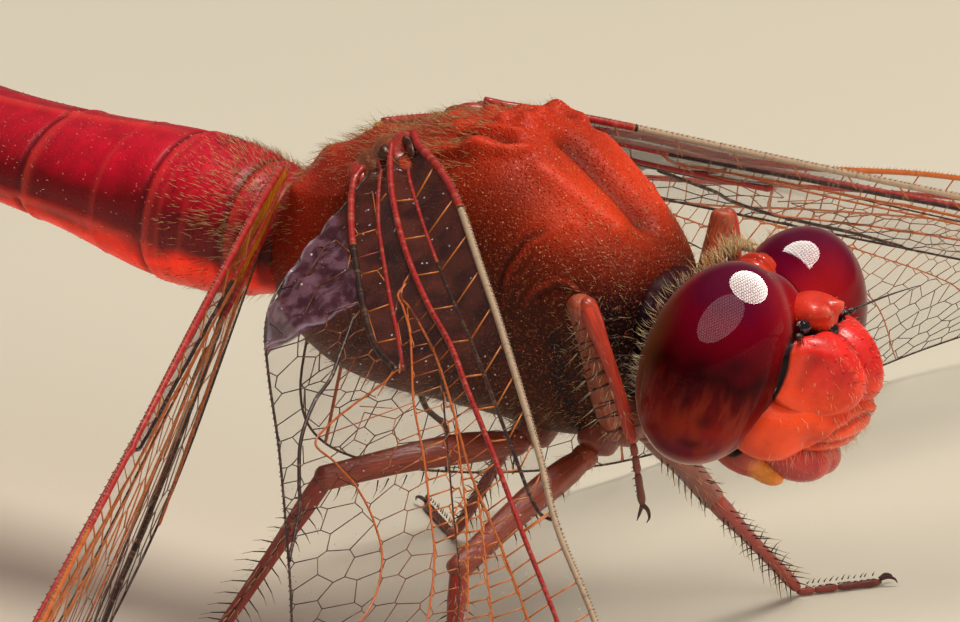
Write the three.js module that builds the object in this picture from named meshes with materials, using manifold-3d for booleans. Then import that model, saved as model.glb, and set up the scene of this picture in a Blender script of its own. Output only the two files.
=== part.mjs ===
// Male broad scarlet dragonfly, perched on its four rear legs with the forelegs tucked behind the head.
// Millimetres, life size. +X runs to the head, +Y to the animal's left, +Z up.
import * as THREE from "three";
import { mergeVertices } from "three/addons/utils/BufferGeometryUtils.js";
import Module from "manifold-3d";

const wasm = await Module();
wasm.setup();

// Driving dimensions, in millimetres and degrees.
const seam = 0.05; // clear space kept between neighbouring plates
const weld = 1e-5; // vertices nearer than this are one
const floorLevel = -9.7; // floor below the centre of the head
const headCentre = [12.6, 0, 0];
const headPitch = 17; // face turned down
const eye = { radii: [1.6, 1.84, 2.46], out: 1.68, drop: 0.1, lean: 10 };
const abdomenStart = [-0.24, 0, 0.15];
const abdomenRise = 5; // tail end carried high
const plateThickness = 0.5; // wings and feelers
const footClearance = 0.2; // tarsus axis above the floor, less than its radius, so its sole is flat

const deg = THREE.MathUtils.degToRad;
const dragonfly = new THREE.Group();

// ---- finishes ----
const finishes = {
  eyeShell: { color: 0x4a0d14, roughness: 0.18 },
  faceShell: { color: 0xc92a1a, roughness: 0.35 },
  lipShell: { color: 0x8f2a33, roughness: 0.4 },
  darkShell: { color: 0x2a1614, roughness: 0.6 },
  thoraxShell: { color: 0xa8230f, roughness: 0.5 },
  abdomenShell: { color: 0xb00f18, roughness: 0.4 },
  legShell: { color: 0x8a3a24, roughness: 0.5 },
  feeler: { color: 0x140c0a, roughness: 0.5 },
  wing: { color: 0xb98a5c, roughness: 0.3 },
};

function makeMaterial({ color, roughness }) {
  return new THREE.MeshStandardMaterial({ color, roughness, metalness: 0 });
}

// ---- solids ----
function toSolid(geometry) {
  const bare = geometry.clone();
  bare.deleteAttribute("normal");
  bare.deleteAttribute("uv");
  const merged = mergeVertices(bare, weld);
  const vertProperties = new Float32Array(merged.attributes.position.array);
  const triVerts = new Uint32Array(merged.index.array);
  return new wasm.Manifold(new wasm.Mesh({ numProp: 3, vertProperties, triVerts }));
}

function toGeometry(solid) {
  const { vertProperties, triVerts, numProp } = solid.getMesh();
  const geometry = new THREE.BufferGeometry();
  const positions = new Float32Array((vertProperties.length / numProp) * 3);
  for (let i = 0; i < positions.length / 3; i += 1) {
    for (let axis = 0; axis < 3; axis += 1) positions[i * 3 + axis] = vertProperties[i * numProp + axis];
  }
  geometry.setAttribute("position", new THREE.BufferAttribute(positions, 3));
  geometry.setIndex(new THREE.BufferAttribute(new Uint32Array(triVerts), 1));
  geometry.computeVertexNormals();
  return geometry;
}

// The geometry less each cutter.
function carve(geometry, ...cutters) {
  let solid = toSolid(geometry);
  for (const cutter of cutters) solid = solid.subtract(toSolid(cutter));
  return toGeometry(solid);
}

function join(geometry, ...others) {
  let solid = toSolid(geometry);
  for (const other of others) solid = solid.add(toSolid(other));
  return toGeometry(solid);
}

// Smooth values between the rows of a table whose first column is the distance.
function smoothTable(rows) {
  const slope = (i, column) => {
    const before = rows[Math.max(i - 1, 0)];
    const after = rows[Math.min(i + 1, rows.length - 1)];
    return (after[column] - before[column]) / (after[0] - before[0]);
  };
  return (distance) => {
    let i = 0;
    while (i < rows.length - 2 && distance > rows[i + 1][0]) i += 1;
    const span = rows[i + 1][0] - rows[i][0];
    const t = THREE.MathUtils.clamp((distance - rows[i][0]) / span, 0, 1);
    const rise = 3 * t ** 2 - 2 * t ** 3;
    const h = [1 - rise, t ** 3 - 2 * t ** 2 + t, rise, t ** 3 - t ** 2];
    return rows[i].map((value, column) => (column === 0 ? distance
      : h[0] * value + h[1] * span * slope(i, column)
        + h[2] * rows[i + 1][column] + h[3] * span * slope(i + 1, column)));
  };
}

// A closed body along X. station(u) gives x, top, bottom, level of greatest width, half width and
// roundness (2 is an oval, more is squarer).
function stationBody(station, sides, rings, grow = 0) {
  const geometry = new THREE.CylinderGeometry(1, 1, 1, sides, rings);
  const position = geometry.attributes.position;
  const soften = (value, power) => Math.sign(value) * Math.abs(value) ** power;
  for (let i = 0; i < position.count; i += 1) {
    const { x, top, bottom, level, half, round } = station(position.getY(i) + 0.5);
    const across = soften(position.getZ(i), 2 / round);
    const up = soften(position.getX(i), 2 / round);
    const reach = up > 0 ? top + grow - level : level - bottom + grow;
    position.setXYZ(i, x, across * (half + grow), level + up * reach);
  }
  return geometry;
}

// A tapering limb along a smooth path. radii run from its first point to its last.
function limb(points, radii, { sides = 8, rings = 3, grow = 0 } = {}) {
  const path = new THREE.CatmullRomCurve3(points.map((point) => new THREE.Vector3(...point)));
  const frames = path.computeFrenetFrames(rings);
  const radiusAt = smoothTable(radii.map((radius, i) => [i / (radii.length - 1), radius]));
  const geometry = new THREE.CylinderGeometry(1, 1, 1, sides, rings);
  const position = geometry.attributes.position;
  for (let i = 0; i < position.count; i += 1) {
    const u = position.getY(i) + 0.5;
    const ring = Math.round(u * rings);
    const radius = radiusAt(u)[1] + grow;
    const place = path.getPointAt(ring / rings);
    place.addScaledVector(frames.normals[ring], position.getZ(i) * radius);
    place.addScaledVector(frames.binormals[ring], position.getX(i) * radius);
    position.setXYZ(i, place.x, place.y, place.z);
  }
  return geometry;
}

function ellipsoid(centre, radii, { lean = 0, segments = [24, 16], grow = 0, shape = null } = {}) {
  const geometry = new THREE.SphereGeometry(1, ...segments);
  geometry.rotateX(Math.PI / 2); // poles on Z
  const position = geometry.attributes.position;
  for (let i = 0; i < position.count; i += 1) {
    const unit = new THREE.Vector3().fromBufferAttribute(position, i);
    const swell = shape ? shape(unit) : 1;
    position.setXYZ(i, ...[0, 1, 2].map((axis) => unit.getComponent(axis) * (radii[axis] * swell + grow)));
  }
  geometry.rotateX(deg(lean));
  return geometry.translate(...centre);
}

function addPart(parent, name, geometry, finish) {
  const mesh = new THREE.Mesh(geometry, makeMaterial(finishes[finish]));
  mesh.name = name;
  parent.add(mesh);
  return mesh;
}

const sidesOfBody = [["left", 1], ["right", -1]];
const mirror = (point, side) => [point[0], point[1] * side, point[2]];

// ---- head, in its own pitched frame with the origin between the eyes ----
const midPlaneCutter = (side) => new THREE.BoxGeometry(12, 12, 12).translate(0, -side * (6 - seam / 2), 0);

function eyeForm(side, grow = 0) {
  const centre = [0, side * eye.out, -eye.drop];
  return ellipsoid(centre, eye.radii, { lean: side * eye.lean, segments: [18, 12], grow });
}

const twoLobes = (depth, width) => (unit) => (
  1 - depth * Math.exp(-((unit.y / width) ** 2)) * Math.max(unit.x, 0)
);

const facePlates = {
  vertex: {
    centre: [1.35, 0, 1.5], radii: [0.66, 0.62, 0.55], segments: [12, 8],
    shape: (unit) => 1 + 0.2 * Math.abs(unit.y) * Math.max(unit.z, 0), finish: "faceShell",
  },
  frons: {
    centre: [1.75, 0, 0.35], radii: [1.5, 1.6, 1.05], segments: [20, 12],
    shape: twoLobes(0.12, 0.22), finish: "faceShell",
  },
  clypeus: { centre: [1.55, 0, -1.05], radii: [1.6, 1.95, 0.95], segments: [16, 8], finish: "faceShell" },
  labrum: { centre: [1.75, 0, -2.05], radii: [1.1, 1.2, 0.62], segments: [14, 8], finish: "lipShell" },
  labium: { centre: [0.7, 0, -2.35], radii: [1.25, 1.25, 0.5], segments: [14, 8], finish: "lipShell" },
  head_capsule: {
    centre: [-0.45, 0, -0.1], radii: [1.11, 2.72, 1.97], segments: [18, 10], finish: "darkShell",
  },
};

function makeHead() {
  const head = new THREE.Group();
  head.position.set(...headCentre);
  head.rotation.y = deg(headPitch);
  for (const [word, side] of sidesOfBody) {
    addPart(head, `eye_${word}`, carve(eyeForm(side), midPlaneCutter(side)), "eyeShell");
  }
  const taken = sidesOfBody.map(([, side]) => eyeForm(side, seam));
  for (const [name, plate] of Object.entries(facePlates)) {
    const { centre, radii, segments, shape, finish } = plate;
    addPart(head, name, carve(ellipsoid(centre, radii, { segments, shape }), ...taken), finish);
    taken.push(ellipsoid(centre, radii, { segments, shape, grow: seam }));
  }
  const feelerRadius = plateThickness / 2;
  for (const [word, side] of sidesOfBody) {
    const route = [[1.42, 0.86, 1.2], [1.85, 1.65, 1.65], [2.25, 2.45, 2.1]];
    const bent = route.map((point) => mirror(point, side));
    const feeler = limb(bent, [feelerRadius, feelerRadius], { sides: 8, rings: 3 });
    addPart(head, `antenna_${word}`, carve(feeler, ...taken), "feeler");
  }
  return head;
}

// ---- thorax ----
// x, top, bottom, level of greatest width, half width, roundness
const thoraxTable = smoothTable([
  [0.0, 1.7, -1.95, 0.3, 1.5, 2.2],
  [1.5, 2.8, -2.7, 0.5, 2.15, 2.3],
  [3.2, 3.4, -2.95, 0.7, 2.6, 2.35],
  [5.0, 3.95, -2.95, 0.8, 2.85, 2.35],
  [6.6, 4.2, -3.0, 0.8, 2.85, 2.4],
  [7.6, 3.85, -3.1, 0.7, 2.7, 2.4],
  [8.5, 3.25, -3.05, 0.6, 2.5, 2.3],
  [9.3, 2.65, -2.7, 0.4, 2.2, 2.2],
  [10.0, 1.95, -2.0, 0.3, 1.7, 2.1],
  [10.35, 1.4, -1.0, 0.3, 1.15, 2.0],
]);

function thoraxForm(grow = 0) {
  const [rear, front] = [0 - grow, 10.35 + grow];
  return stationBody((u) => {
    const x = rear + (front - rear) * u;
    const [, top, bottom, level, half, round] = thoraxTable(THREE.MathUtils.clamp(x, 0, 10.35));
    return { x, top, bottom, level, half, round };
  }, 20, 14, grow);
}

function prothoraxForm(grow = 0) {
  const centre = [10.45, 0, -0.1];
  const saddle = (unit) => 1 + 0.25 * Math.max(-unit.x, 0) - 0.1 * Math.abs(unit.y);
  return ellipsoid(centre, [0.95, 1.35, 1.65], { segments: [14, 8], shape: saddle, grow });
}

function makeThorax() {
  const thorax = new THREE.Group();
  addPart(thorax, "thorax", thoraxForm(), "thoraxShell");
  addPart(thorax, "prothorax", carve(prothoraxForm(), thoraxForm(seam), headInBody), "darkShell");
  return thorax;
}

// ---- abdomen, in a frame whose -X runs back along it ----
const segmentLengths = [0.9, 2.2, 3.6, 3.7, 3.7, 3.6, 3.3, 2.3, 1.4, 0.9];
const ringsPerMm = 0.8;
const abdomenLength = segmentLengths.reduce((sum, length) => sum + length, 0);
// distance from the thorax, height of back, depth of belly, half width
const abdomenTable = smoothTable([
  [0.0, 1.35, 1.5, 1.5],
  [1.6, 1.7, 1.9, 1.9],
  [3.4, 1.65, 1.95, 2.0],
  [6.0, 1.3, 1.45, 1.95],
  [9.0, 1.05, 1.15, 2.05],
  [13.5, 1.1, 1.1, 2.3],
  [18.0, 1.1, 1.05, 2.2],
  [21.5, 0.95, 0.95, 1.75],
  [24.0, 0.8, 0.75, 1.15],
  [abdomenLength, 0.6, 0.55, 0.75],
]);

function makeAbdomen() {
  const abdomen = new THREE.Group();
  abdomen.position.set(...abdomenStart);
  abdomen.rotation.y = deg(abdomenRise);
  let start = 0;
  segmentLengths.forEach((length, index) => {
    const [front, rear] = [start + seam / 2, start + length - seam / 2];
    const ring = stationBody((u) => {
      const distance = rear + (front - rear) * u;
      const [, top, belly, half] = abdomenTable(distance);
      return { x: -distance, top, bottom: -belly, level: -0.15, half, round: 2.1 };
    }, 16, Math.max(1, Math.round(length * ringsPerMm)));
    addPart(abdomen, `abdomen_${String(index + 1).padStart(2, "0")}`, ring, "abdomenShell");
    start += length;
  });
  const tail = -abdomenLength - seam;
  for (const [word, side] of sidesOfBody) {
    const route = [[tail, 0.38, 0.2], [tail - 0.9, 0.46, 0.26], [tail - 1.8, 0.36, 0.42]];
    const bent = route.map((point) => mirror(point, side));
    const clasper = limb(bent, [0.25, 0.3, 0.1], { sides: 8, rings: 4 });
    addPart(abdomen, `cercus_${word}`, clasper, "abdomenShell");
  }
  const lowerClasper = limb([[tail, 0, -0.3], [tail - 0.6, 0, -0.24], [tail - 1.15, 0, 0]],
    [0.3, 0.27, 0.12], { sides: 8, rings: 3 });
  addPart(abdomen, "epiproct", lowerClasper, "abdomenShell");
  return abdomen;
}

// ---- wings ----
// distance from the root, leading edge and trailing edge ahead of the root line
const foreOutline = [
  [0, 0.5, -0.8], [1.2, 0.8, -2.35], [2.3, 0.95, -3.65], [3.3, 1.0, -4.15], [5, 1.0, -4.4],
  [8, 1.0, -4.65], [12.6, 0.9, -5.2], [15.4, 0.75, -5.6], [19, 0.85, -5.95], [23, 0.75, -5.85],
  [26, 0.45, -5.45], [28.4, -0.1, -4.75], [29.8, -0.9, -4.0], [30.6, -1.9, -3.0],
];
const hindOutline = [
  [0, 0.5, -1.6], [0.8, 0.7, -4.2], [1.8, 0.9, -6.9], [3.0, 1.0, -8.2], [5, 1.1, -8.8], [8, 1.1, -8.9],
  [11.6, 0.8, -8.6], [14, 0.75, -8.3], [18, 0.95, -7.7], [22, 0.8, -6.8], [25, 0.45, -5.8],
  [27.2, -0.2, -4.7], [28.5, -1.0, -3.8], [29.2, -2.0, -2.8],
];
// Root on the thorax, forward sweep, droop at root and tip, and upward pitch of the leading edge along it.
const forePitch = [[0, 31], [30.6, 24]];
const foreWing = {
  outline: foreOutline, root: [4.2, 2.0, 3.35], sweep: 45, droop: [16, 12], pitch: forePitch,
};
const hindPitch = [[0, 70], [12, 69], [16, 64], [20, 56], [24, 48], [29.2, 42]];
const hindWing = {
  outline: hindOutline, root: [0.7, 1.75, 2.1], sweep: 17, droop: [18, 13], pitch: hindPitch,
};
const wingStations = 22;
const wingStrips = 3;

// A point of a wing: distance out along it, distance ahead of the root line and height above its plate.
function wingPoint(wing, side, out, ahead, above) {
  const span = wing.outline.at(-1)[0];
  const [sweep, pitch] = [deg(wing.sweep), deg(smoothTable(wing.pitch)(out)[1])];
  const rootDroop = deg(wing.droop[0]);
  const droop = deg(THREE.MathUtils.lerp(...wing.droop, out / span));
  const bend = (deg(wing.droop[1]) - rootDroop) / span;
  const reach = (Math.sin(droop) - Math.sin(rootDroop)) / bend;
  const fall = (Math.cos(rootDroop) - Math.cos(droop)) / bend;
  const level = [Math.cos(sweep), -Math.sin(sweep), 0];
  const upright = [Math.sin(sweep) * Math.sin(droop), Math.cos(sweep) * Math.sin(droop), Math.cos(droop)];
  const root = [wing.root[0] + Math.sin(sweep) * reach, wing.root[1] + Math.cos(sweep) * reach,
    wing.root[2] - fall];
  const point = root.map((value, axis) => value
    + ahead * (Math.cos(pitch) * level[axis] + Math.sin(pitch) * upright[axis])
    + above * (Math.cos(pitch) * upright[axis] - Math.sin(pitch) * level[axis]));
  return mirror(point, side);
}

function wingPlate(wing, side) {
  const edges = smoothTable(wing.outline);
  const span = wing.outline.at(-1)[0];
  const plate = new THREE.BoxGeometry(1, 1, 1, wingStations, wingStrips, 1);
  const position = plate.attributes.position;
  for (let i = 0; i < position.count; i += 1) {
    const u = position.getX(i) + 0.5;
    const out = (span * (u + 0.5 - 0.5 * Math.cos(Math.PI * u))) / 2; // closer stations at both ends
    const [, front, back] = edges(out);
    const ahead = THREE.MathUtils.lerp(back, front, 0.5 + side * -position.getY(i));
    const above = position.getZ(i) * plateThickness;
    position.setXYZ(i, ...wingPoint(wing, side, out, ahead, above));
  }
  return plate;
}

function makeWings() {
  const wings = new THREE.Group();
  for (const [word, side] of sidesOfBody) {
    addPart(wings, `wing_fore_${word}`, carve(wingPlate(foreWing, side), thoraxForm(seam)), "wing");
    addPart(wings, `wing_hind_${word}`, carve(wingPlate(hindWing, side), thoraxForm(seam)), "wing");
  }
  return wings;
}

// ---- legs: hip, knee, ankle and toe of each; the middle and hind pairs stand on the floor ----
const footLevel = floorLevel + footClearance;
const legs = {
  leg_fore_right: { hip: [9.75, -1.35, -2.55], knee: [9.6, -2.75, 1.1], ankle: [11.1, -2.75, -2.0],
    toe: [11.1, -2.35, -3.6], stands: false },
  leg_fore_left: { hip: [9.75, 1.35, -2.55], knee: [10.0, 2.75, 1.75], ankle: [10.6, 2.95, -1.7],
    toe: [10.9, 2.6, -3.3], stands: false },
  leg_middle_right: { hip: [8.9, -1.0, -3.1], knee: [7.9, -5.2, -5.0], ankle: [8.3, -6.6, footLevel],
    toe: [9.6, -8.3, footLevel], stands: true },
  leg_middle_left: { hip: [8.9, 1.0, -3.1], knee: [8.6, 4.6, -6.1], ankle: [8.8, 8.2, footLevel],
    toe: [10.1, 9.9, footLevel], stands: true },
  leg_hind_right: { hip: [7.2, -1.1, -3.2], knee: [4.45, -5.6, -3.36], ankle: [0.5, -6.1, footLevel],
    toe: [-1.4, -7.6, footLevel], stands: true },
  leg_hind_left: { hip: [7.2, 1.1, -3.2], knee: [4.2, 5.4, -2.9], ankle: [-0.2, 6.7, footLevel],
    toe: [-2.1, 8.2, footLevel], stands: true },
};
const coxaReach = 0.75; // coxa length above the hip joint
const kneeOffset = 0.42; // axis of the shin beside the axis of the thigh at the knee
const femurRadii = [0.36, 0.34, 0.3];
const tibiaRadii = [0.27, 0.26, 0.25];
const tarsusRadii = [0.25, 0.25, 0.25];

const between = (from, to, share) => from.map((value, axis) => value + (to[axis] - value) * share);

// A point on the way from one joint to the next, a set distance past the first.
function along(from, to, distance) {
  const length = Math.hypot(...from.map((value, axis) => to[axis] - value));
  return between(from, to, distance / length);
}

// Where the shin leaves the knee: beside the thigh's end, on the side that the shin folds to.
function kneeExit(hip, knee, ankle) {
  const elbow = new THREE.Vector3(...knee);
  const thigh = elbow.clone().sub(new THREE.Vector3(...hip)).normalize();
  const shin = new THREE.Vector3(...ankle).sub(elbow).projectOnPlane(thigh).setLength(kneeOffset);
  return elbow.add(shin).toArray();
}

function clawPair(ankle, toe) {
  const heading = new THREE.Vector3(toe[0] - ankle[0], toe[1] - ankle[1], toe[2] - ankle[2]).normalize();
  const across = new THREE.Vector3(-heading.y, heading.x, 0).normalize();
  return [1, -1].map((side) => {
    const spots = [[-0.3, 0.05, 0], [0.1, 0.2, 0.05], [0.45, 0.3, -0.05]];
    const route = spots.map(([ahead, out, up]) => new THREE.Vector3(...toe)
      .addScaledVector(heading, ahead)
      .addScaledVector(across, side * out)
      .add(new THREE.Vector3(0, 0, up)).toArray());
    return limb(route, [0.15, 0.13, 0.06], { sides: 4, rings: 2 });
  });
}

function makeLegs() {
  const group = new THREE.Group();
  const ground = new THREE.BoxGeometry(120, 120, 4).translate(0, 0, floorLevel - 2);
  for (const [name, { hip, knee, ankle, toe, stands }] of Object.entries(legs)) {
    const bow = between(hip, knee, 0.5);
    bow[2] += 0.12;
    const coxa = (grow) => limb([[hip[0] + 0.1, hip[1] * 0.5, hip[2] + coxaReach], hip], [0.55, 0.42],
      { sides: 8, rings: 1, grow });
    const femur = (grow) => limb([along(hip, knee, 0.25), bow, knee], femurRadii, { rings: 2, grow });
    const tibia = (grow) => limb([kneeExit(hip, knee, ankle), between(knee, ankle, 0.5), ankle], tibiaRadii,
      { rings: 2, grow });
    const tarsus = join(limb([along(ankle, toe, 0.1), between(ankle, toe, 0.5), toe], tarsusRadii,
      { rings: 2 }), ...clawPair(ankle, toe));
    const bodyForms = [thoraxForm(seam), prothoraxForm(seam)];
    addPart(group, `${name}_coxa`, carve(coxa(0), ...bodyForms), "legShell");
    addPart(group, `${name}_femur`, carve(femur(0), coxa(seam), ...bodyForms), "legShell");
    addPart(group, `${name}_tibia`, carve(tibia(0), femur(seam)), "legShell");
    const foot = carve(tarsus, tibia(seam), ...(stands ? [ground] : []));
    addPart(group, `${name}_tarsus`, foot, "legShell");
  }
  return group;
}

// ---- assembly ----
const head = makeHead();
head.updateMatrixWorld(true);
const headInBody = eyesAndCapsule();

// The grown eyes and rear plate as they lie in the body's frame, which the neck plates are cut back from.
function eyesAndCapsule() {
  const forms = sidesOfBody.map(([, side]) => eyeForm(side, seam));
  const { centre, radii, segments } = facePlates.head_capsule;
  forms.push(ellipsoid(centre, radii, { segments, grow: seam }));
  return join(...forms).applyMatrix4(head.matrixWorld);
}

dragonfly.add(head, makeThorax(), makeAbdomen(), makeWings(), makeLegs());

// The origin is the middle of the box's underside, where the soles stand.
dragonfly.updateMatrixWorld(true);
const box = new THREE.Box3().setFromObject(dragonfly, true);
dragonfly.position.set(-(box.min.x + box.max.x) / 2, -(box.min.y + box.max.y) / 2, -floorLevel);

export default dragonfly;
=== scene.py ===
import math
import bpy
import numpy as np
from mathutils import Matrix, Vector
from mathutils.geometry import delaunay_2d_cdt


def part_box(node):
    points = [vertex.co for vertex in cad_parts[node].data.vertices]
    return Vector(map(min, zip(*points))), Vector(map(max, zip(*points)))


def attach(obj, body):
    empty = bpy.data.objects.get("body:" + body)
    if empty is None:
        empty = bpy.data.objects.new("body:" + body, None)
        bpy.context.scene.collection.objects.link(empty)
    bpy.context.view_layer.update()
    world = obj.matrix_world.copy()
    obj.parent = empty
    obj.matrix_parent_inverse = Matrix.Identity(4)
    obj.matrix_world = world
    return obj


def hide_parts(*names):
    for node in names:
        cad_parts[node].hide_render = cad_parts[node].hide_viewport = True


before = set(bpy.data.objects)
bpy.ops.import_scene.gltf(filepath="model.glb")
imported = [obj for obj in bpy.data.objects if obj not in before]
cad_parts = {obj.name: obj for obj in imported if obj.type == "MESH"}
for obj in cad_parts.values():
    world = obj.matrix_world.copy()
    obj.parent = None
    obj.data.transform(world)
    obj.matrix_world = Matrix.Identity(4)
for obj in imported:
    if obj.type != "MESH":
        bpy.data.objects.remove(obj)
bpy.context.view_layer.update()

dice = np.random.default_rng(41)
scene = bpy.context.scene

# The animal is laid out in millimetres from a point level with the centre of its head and above the rear
# of its thorax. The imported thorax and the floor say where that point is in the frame.
mm = 0.001
headHeight = 9.7
bodyOrigin = np.array([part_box("thorax")[0][0], 0, headHeight * mm])
sidesOfBody = (("Left", "left", 1), ("Right", "right", -1))


def floats(values):
    return np.asarray(values, float)


def held(values):
    return np.clip(values, 0, 1)


def bell(values, width):
    return np.exp(-((values / width) ** 2))


def circle(count):
    return np.linspace(0, 2 * np.pi, count, endpoint=False)


def merged(*values):
    return np.stack(values, axis=-1)


def lengthOf(vectors):
    return np.linalg.norm(vectors, axis=-1)


def soften(value, power):
    return np.sign(value) * np.abs(value) ** power


def varied(count, base, more):
    return base + more * dice.random(count)


def ramble(count, spread):
    return dice.standard_normal((count, 3)) * spread


def wheel(turn, first, second):
    # Spokes at the given turns for every pair of ways.
    return np.cos(turn)[None, :, None] * first[:, None] + np.sin(turn)[None, :, None] * second[:, None]


def turnAbout(axis, degrees):
    c, s = math.cos(math.radians(degrees)), math.sin(math.radians(degrees))
    return np.array({
        "x": [[1, 0, 0], [0, c, -s], [0, s, c]],
        "y": [[c, 0, s], [0, 1, 0], [-s, 0, c]],
    }[axis])


headCentre = np.array([12.6, 0, 0])
headTurn = turnAbout("y", 17)  # face turned down
abdomenStart = np.array([-0.24, 0, 0.15])
abdomenTurn = turnAbout("y", 5)  # tail end carried high


def fromHead(points):
    return floats(points) @ headTurn.T + headCentre


def fromAbdomen(points):
    return floats(points) @ abdomenTurn.T + abdomenStart


def sided(points, side):
    return floats(points) * (1, side, 1)


class Shape:
    # Points and faces gathered part by part. Each point also carries two sets of three numbers for the
    # materials: pattern, usually its place in its own part's millimetres, and detail.
    def __init__(self):
        self.points, self.pattern, self.detail, self.faces, self.roots = [], [], [], [], []
        self.count = 0

    def add(self, points, faces, pattern=None, detail=None, roots=None):
        points = floats(points).reshape(-1, 3)
        self.points.append(points)
        self.pattern.append(points if pattern is None else np.broadcast_to(pattern, points.shape))
        self.detail.append(np.broadcast_to((0, 0, 0) if detail is None else detail, points.shape))
        self.faces += [np.asarray(f, int) + self.count for f in faces if len(f)]
        if roots is not None:
            self.roots.append(roots)
        self.count += len(points)


def addObject(name, data):
    made = bpy.data.objects.new(name, data)
    scene.collection.objects.link(made)
    return made


def makePiece(name, shape, material, nodes=()):
    mesh = bpy.data.meshes.new(name)
    points = np.concatenate(shape.points)
    mesh.vertices.add(len(points))
    mesh.vertices.foreach_set("co", (points * mm + bodyOrigin).ravel())
    corners = np.concatenate([f.ravel() for f in shape.faces])
    sizes = np.concatenate([np.full(len(f), f.shape[1]) for f in shape.faces])
    mesh.loops.add(len(corners))
    mesh.loops.foreach_set("vertex_index", corners)
    mesh.polygons.add(len(sizes))
    mesh.polygons.foreach_set("loop_start", np.concatenate([[0], np.cumsum(sizes)[:-1]]))
    mesh.polygons.foreach_set("use_smooth", np.full(len(sizes), True))
    for word, values in (("pattern", shape.pattern), ("detail", shape.detail)):
        layer = mesh.attributes.new(word, "FLOAT_VECTOR", "POINT")
        layer.data.foreach_set("vector", np.concatenate(values).ravel())
    if shape.roots:
        spots = np.concatenate(shape.roots)[corners]
        mesh.uv_layers.new(name="OFBake").data.foreach_set("uv", spots.ravel())
    mesh.update()
    mesh.materials.append(material)
    made = addObject(name, mesh)
    lightGroups.get(name, lightGroups["sheen"]).objects.link(made)
    if name.startswith("abdomen"):
        lightGroups["belly"].objects.link(made)
    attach(made, "root")
    if nodes:
        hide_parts(*nodes)


def makeLoft(name, rings, material, pattern=None, detail=None, place=None, nodes=()):
    shape = Shape()
    addLoft(shape, rings, pattern, detail, place)
    makePiece(name, shape, material, nodes)


def smoothTable(rows):
    # Smooth values between the rows of a table whose first column is the distance.
    rows = np.array(rows, float)
    distance, values = rows[:, 0], rows[:, 1:]
    order = np.arange(len(rows))
    after, before = np.minimum(order + 1, len(rows) - 1), np.maximum(order - 1, 0)
    slope = (values[after] - values[before]) / (distance[after] - distance[before])[:, None]

    def read(place):
        place = floats(place)
        i = np.clip(np.searchsorted(distance, place, side="right") - 1, 0, len(rows) - 2)
        span = (distance[i + 1] - distance[i])[..., None]
        t = held((place - distance[i])[..., None] / span)
        rise = 3 * t**2 - 2 * t**3
        bend = (t**3 - 2 * t**2 + t) * slope[i] + (t**3 - t**2) * slope[i + 1]
        return (1 - rise) * values[i] + rise * values[i + 1] + span * bend

    return read


def smoothRoute(points, step):
    # Points about a step apart on a smooth curve through the given ones.
    points = np.array(points, float)
    along = distanceAlong(points)
    read = smoothTable(np.column_stack([along, points]))
    return read(np.linspace(0, along[-1], max(3, int(along[-1] / step) + 1)))


def unitRows(vectors):
    return vectors / np.maximum(np.linalg.norm(vectors, axis=-1, keepdims=True), 1e-12)


def distanceAlong(route):
    return np.concatenate([[0], np.cumsum(lengthOf(np.diff(route, axis=0)))])


def outwardNormals(rings):
    around = np.roll(rings, -1, axis=1) - np.roll(rings, 1, axis=1)
    out = unitRows(np.cross(np.gradient(rings, axis=0), around))
    return -out if ((rings - rings.mean(axis=1, keepdims=True)) * out).sum() < 0 else out


def loftFaces(rows, columns):
    # Quads between rings that close on themselves, and the fans that close both ends.
    index = np.arange(rows * columns).reshape(rows, columns)
    beside = np.roll(index, -1, axis=1)
    quads = merged(index[:-1], beside[:-1], beside[1:], index[1:]).reshape(-1, 4)
    first, last = np.full(columns, rows * columns), np.full(columns, rows * columns + 1)
    return quads, np.concatenate([merged(first, beside[0], index[0]), merged(last, index[-1], beside[-1])])


def addLoft(shape, rings, pattern=None, detail=None, place=None):
    # A closed body from rings of points. place carries points to the body's frame.
    def ended(values):
        # With the middles of both ends, which close them.
        if np.ndim(values) != 3:
            return values
        return np.concatenate([values.reshape(-1, 3), values[[0, -1]].mean(axis=1)])

    points = ended(rings)
    quads, fans = loftFaces(*rings.shape[:2])
    solid = points if place is None else place(points)
    a, b, c, d = (solid[quads[:, i]] for i in range(4))
    if (np.cross(a, b) * c).sum() + (np.cross(a, c) * d).sum() < 0:
        quads, fans = quads[:, ::-1], fans[:, ::-1]
    shape.add(solid, (quads, fans), points if pattern is None else ended(pattern), ended(detail))


def addTube(shape, route, radii, sides=8, pattern=None, detail=None, ridges=0):
    # A round limb along a route, its radii spread evenly from end to end.
    route = floats(route)
    spread = np.interp(np.linspace(0, 1, len(route)), np.linspace(0, 1, len(radii)), radii)
    tangents = unitRows(np.gradient(route, axis=0))
    normal = np.cross(tangents[0], (0.31, 0.2, 0.93))
    normals = []
    for tangent in tangents:
        normal = unitRows(normal - tangent * (normal @ tangent))
        normals.append(normal)
    normals = np.array(normals)
    turn = circle(sides)
    fold = 1 + ridges * np.cos(5 * turn)[None, :, None]
    rings = route[:, None] + wheel(turn, normals, np.cross(tangents, normals)) * fold * spread[:, None, None]
    if pattern is None:
        along = distanceAlong(route)[:, None]
        pattern = merged(along + 0 * turn, np.cos(turn) + 0 * along, np.sin(turn) + 0 * along)
    addLoft(shape, rings, pattern, detail)


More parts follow.
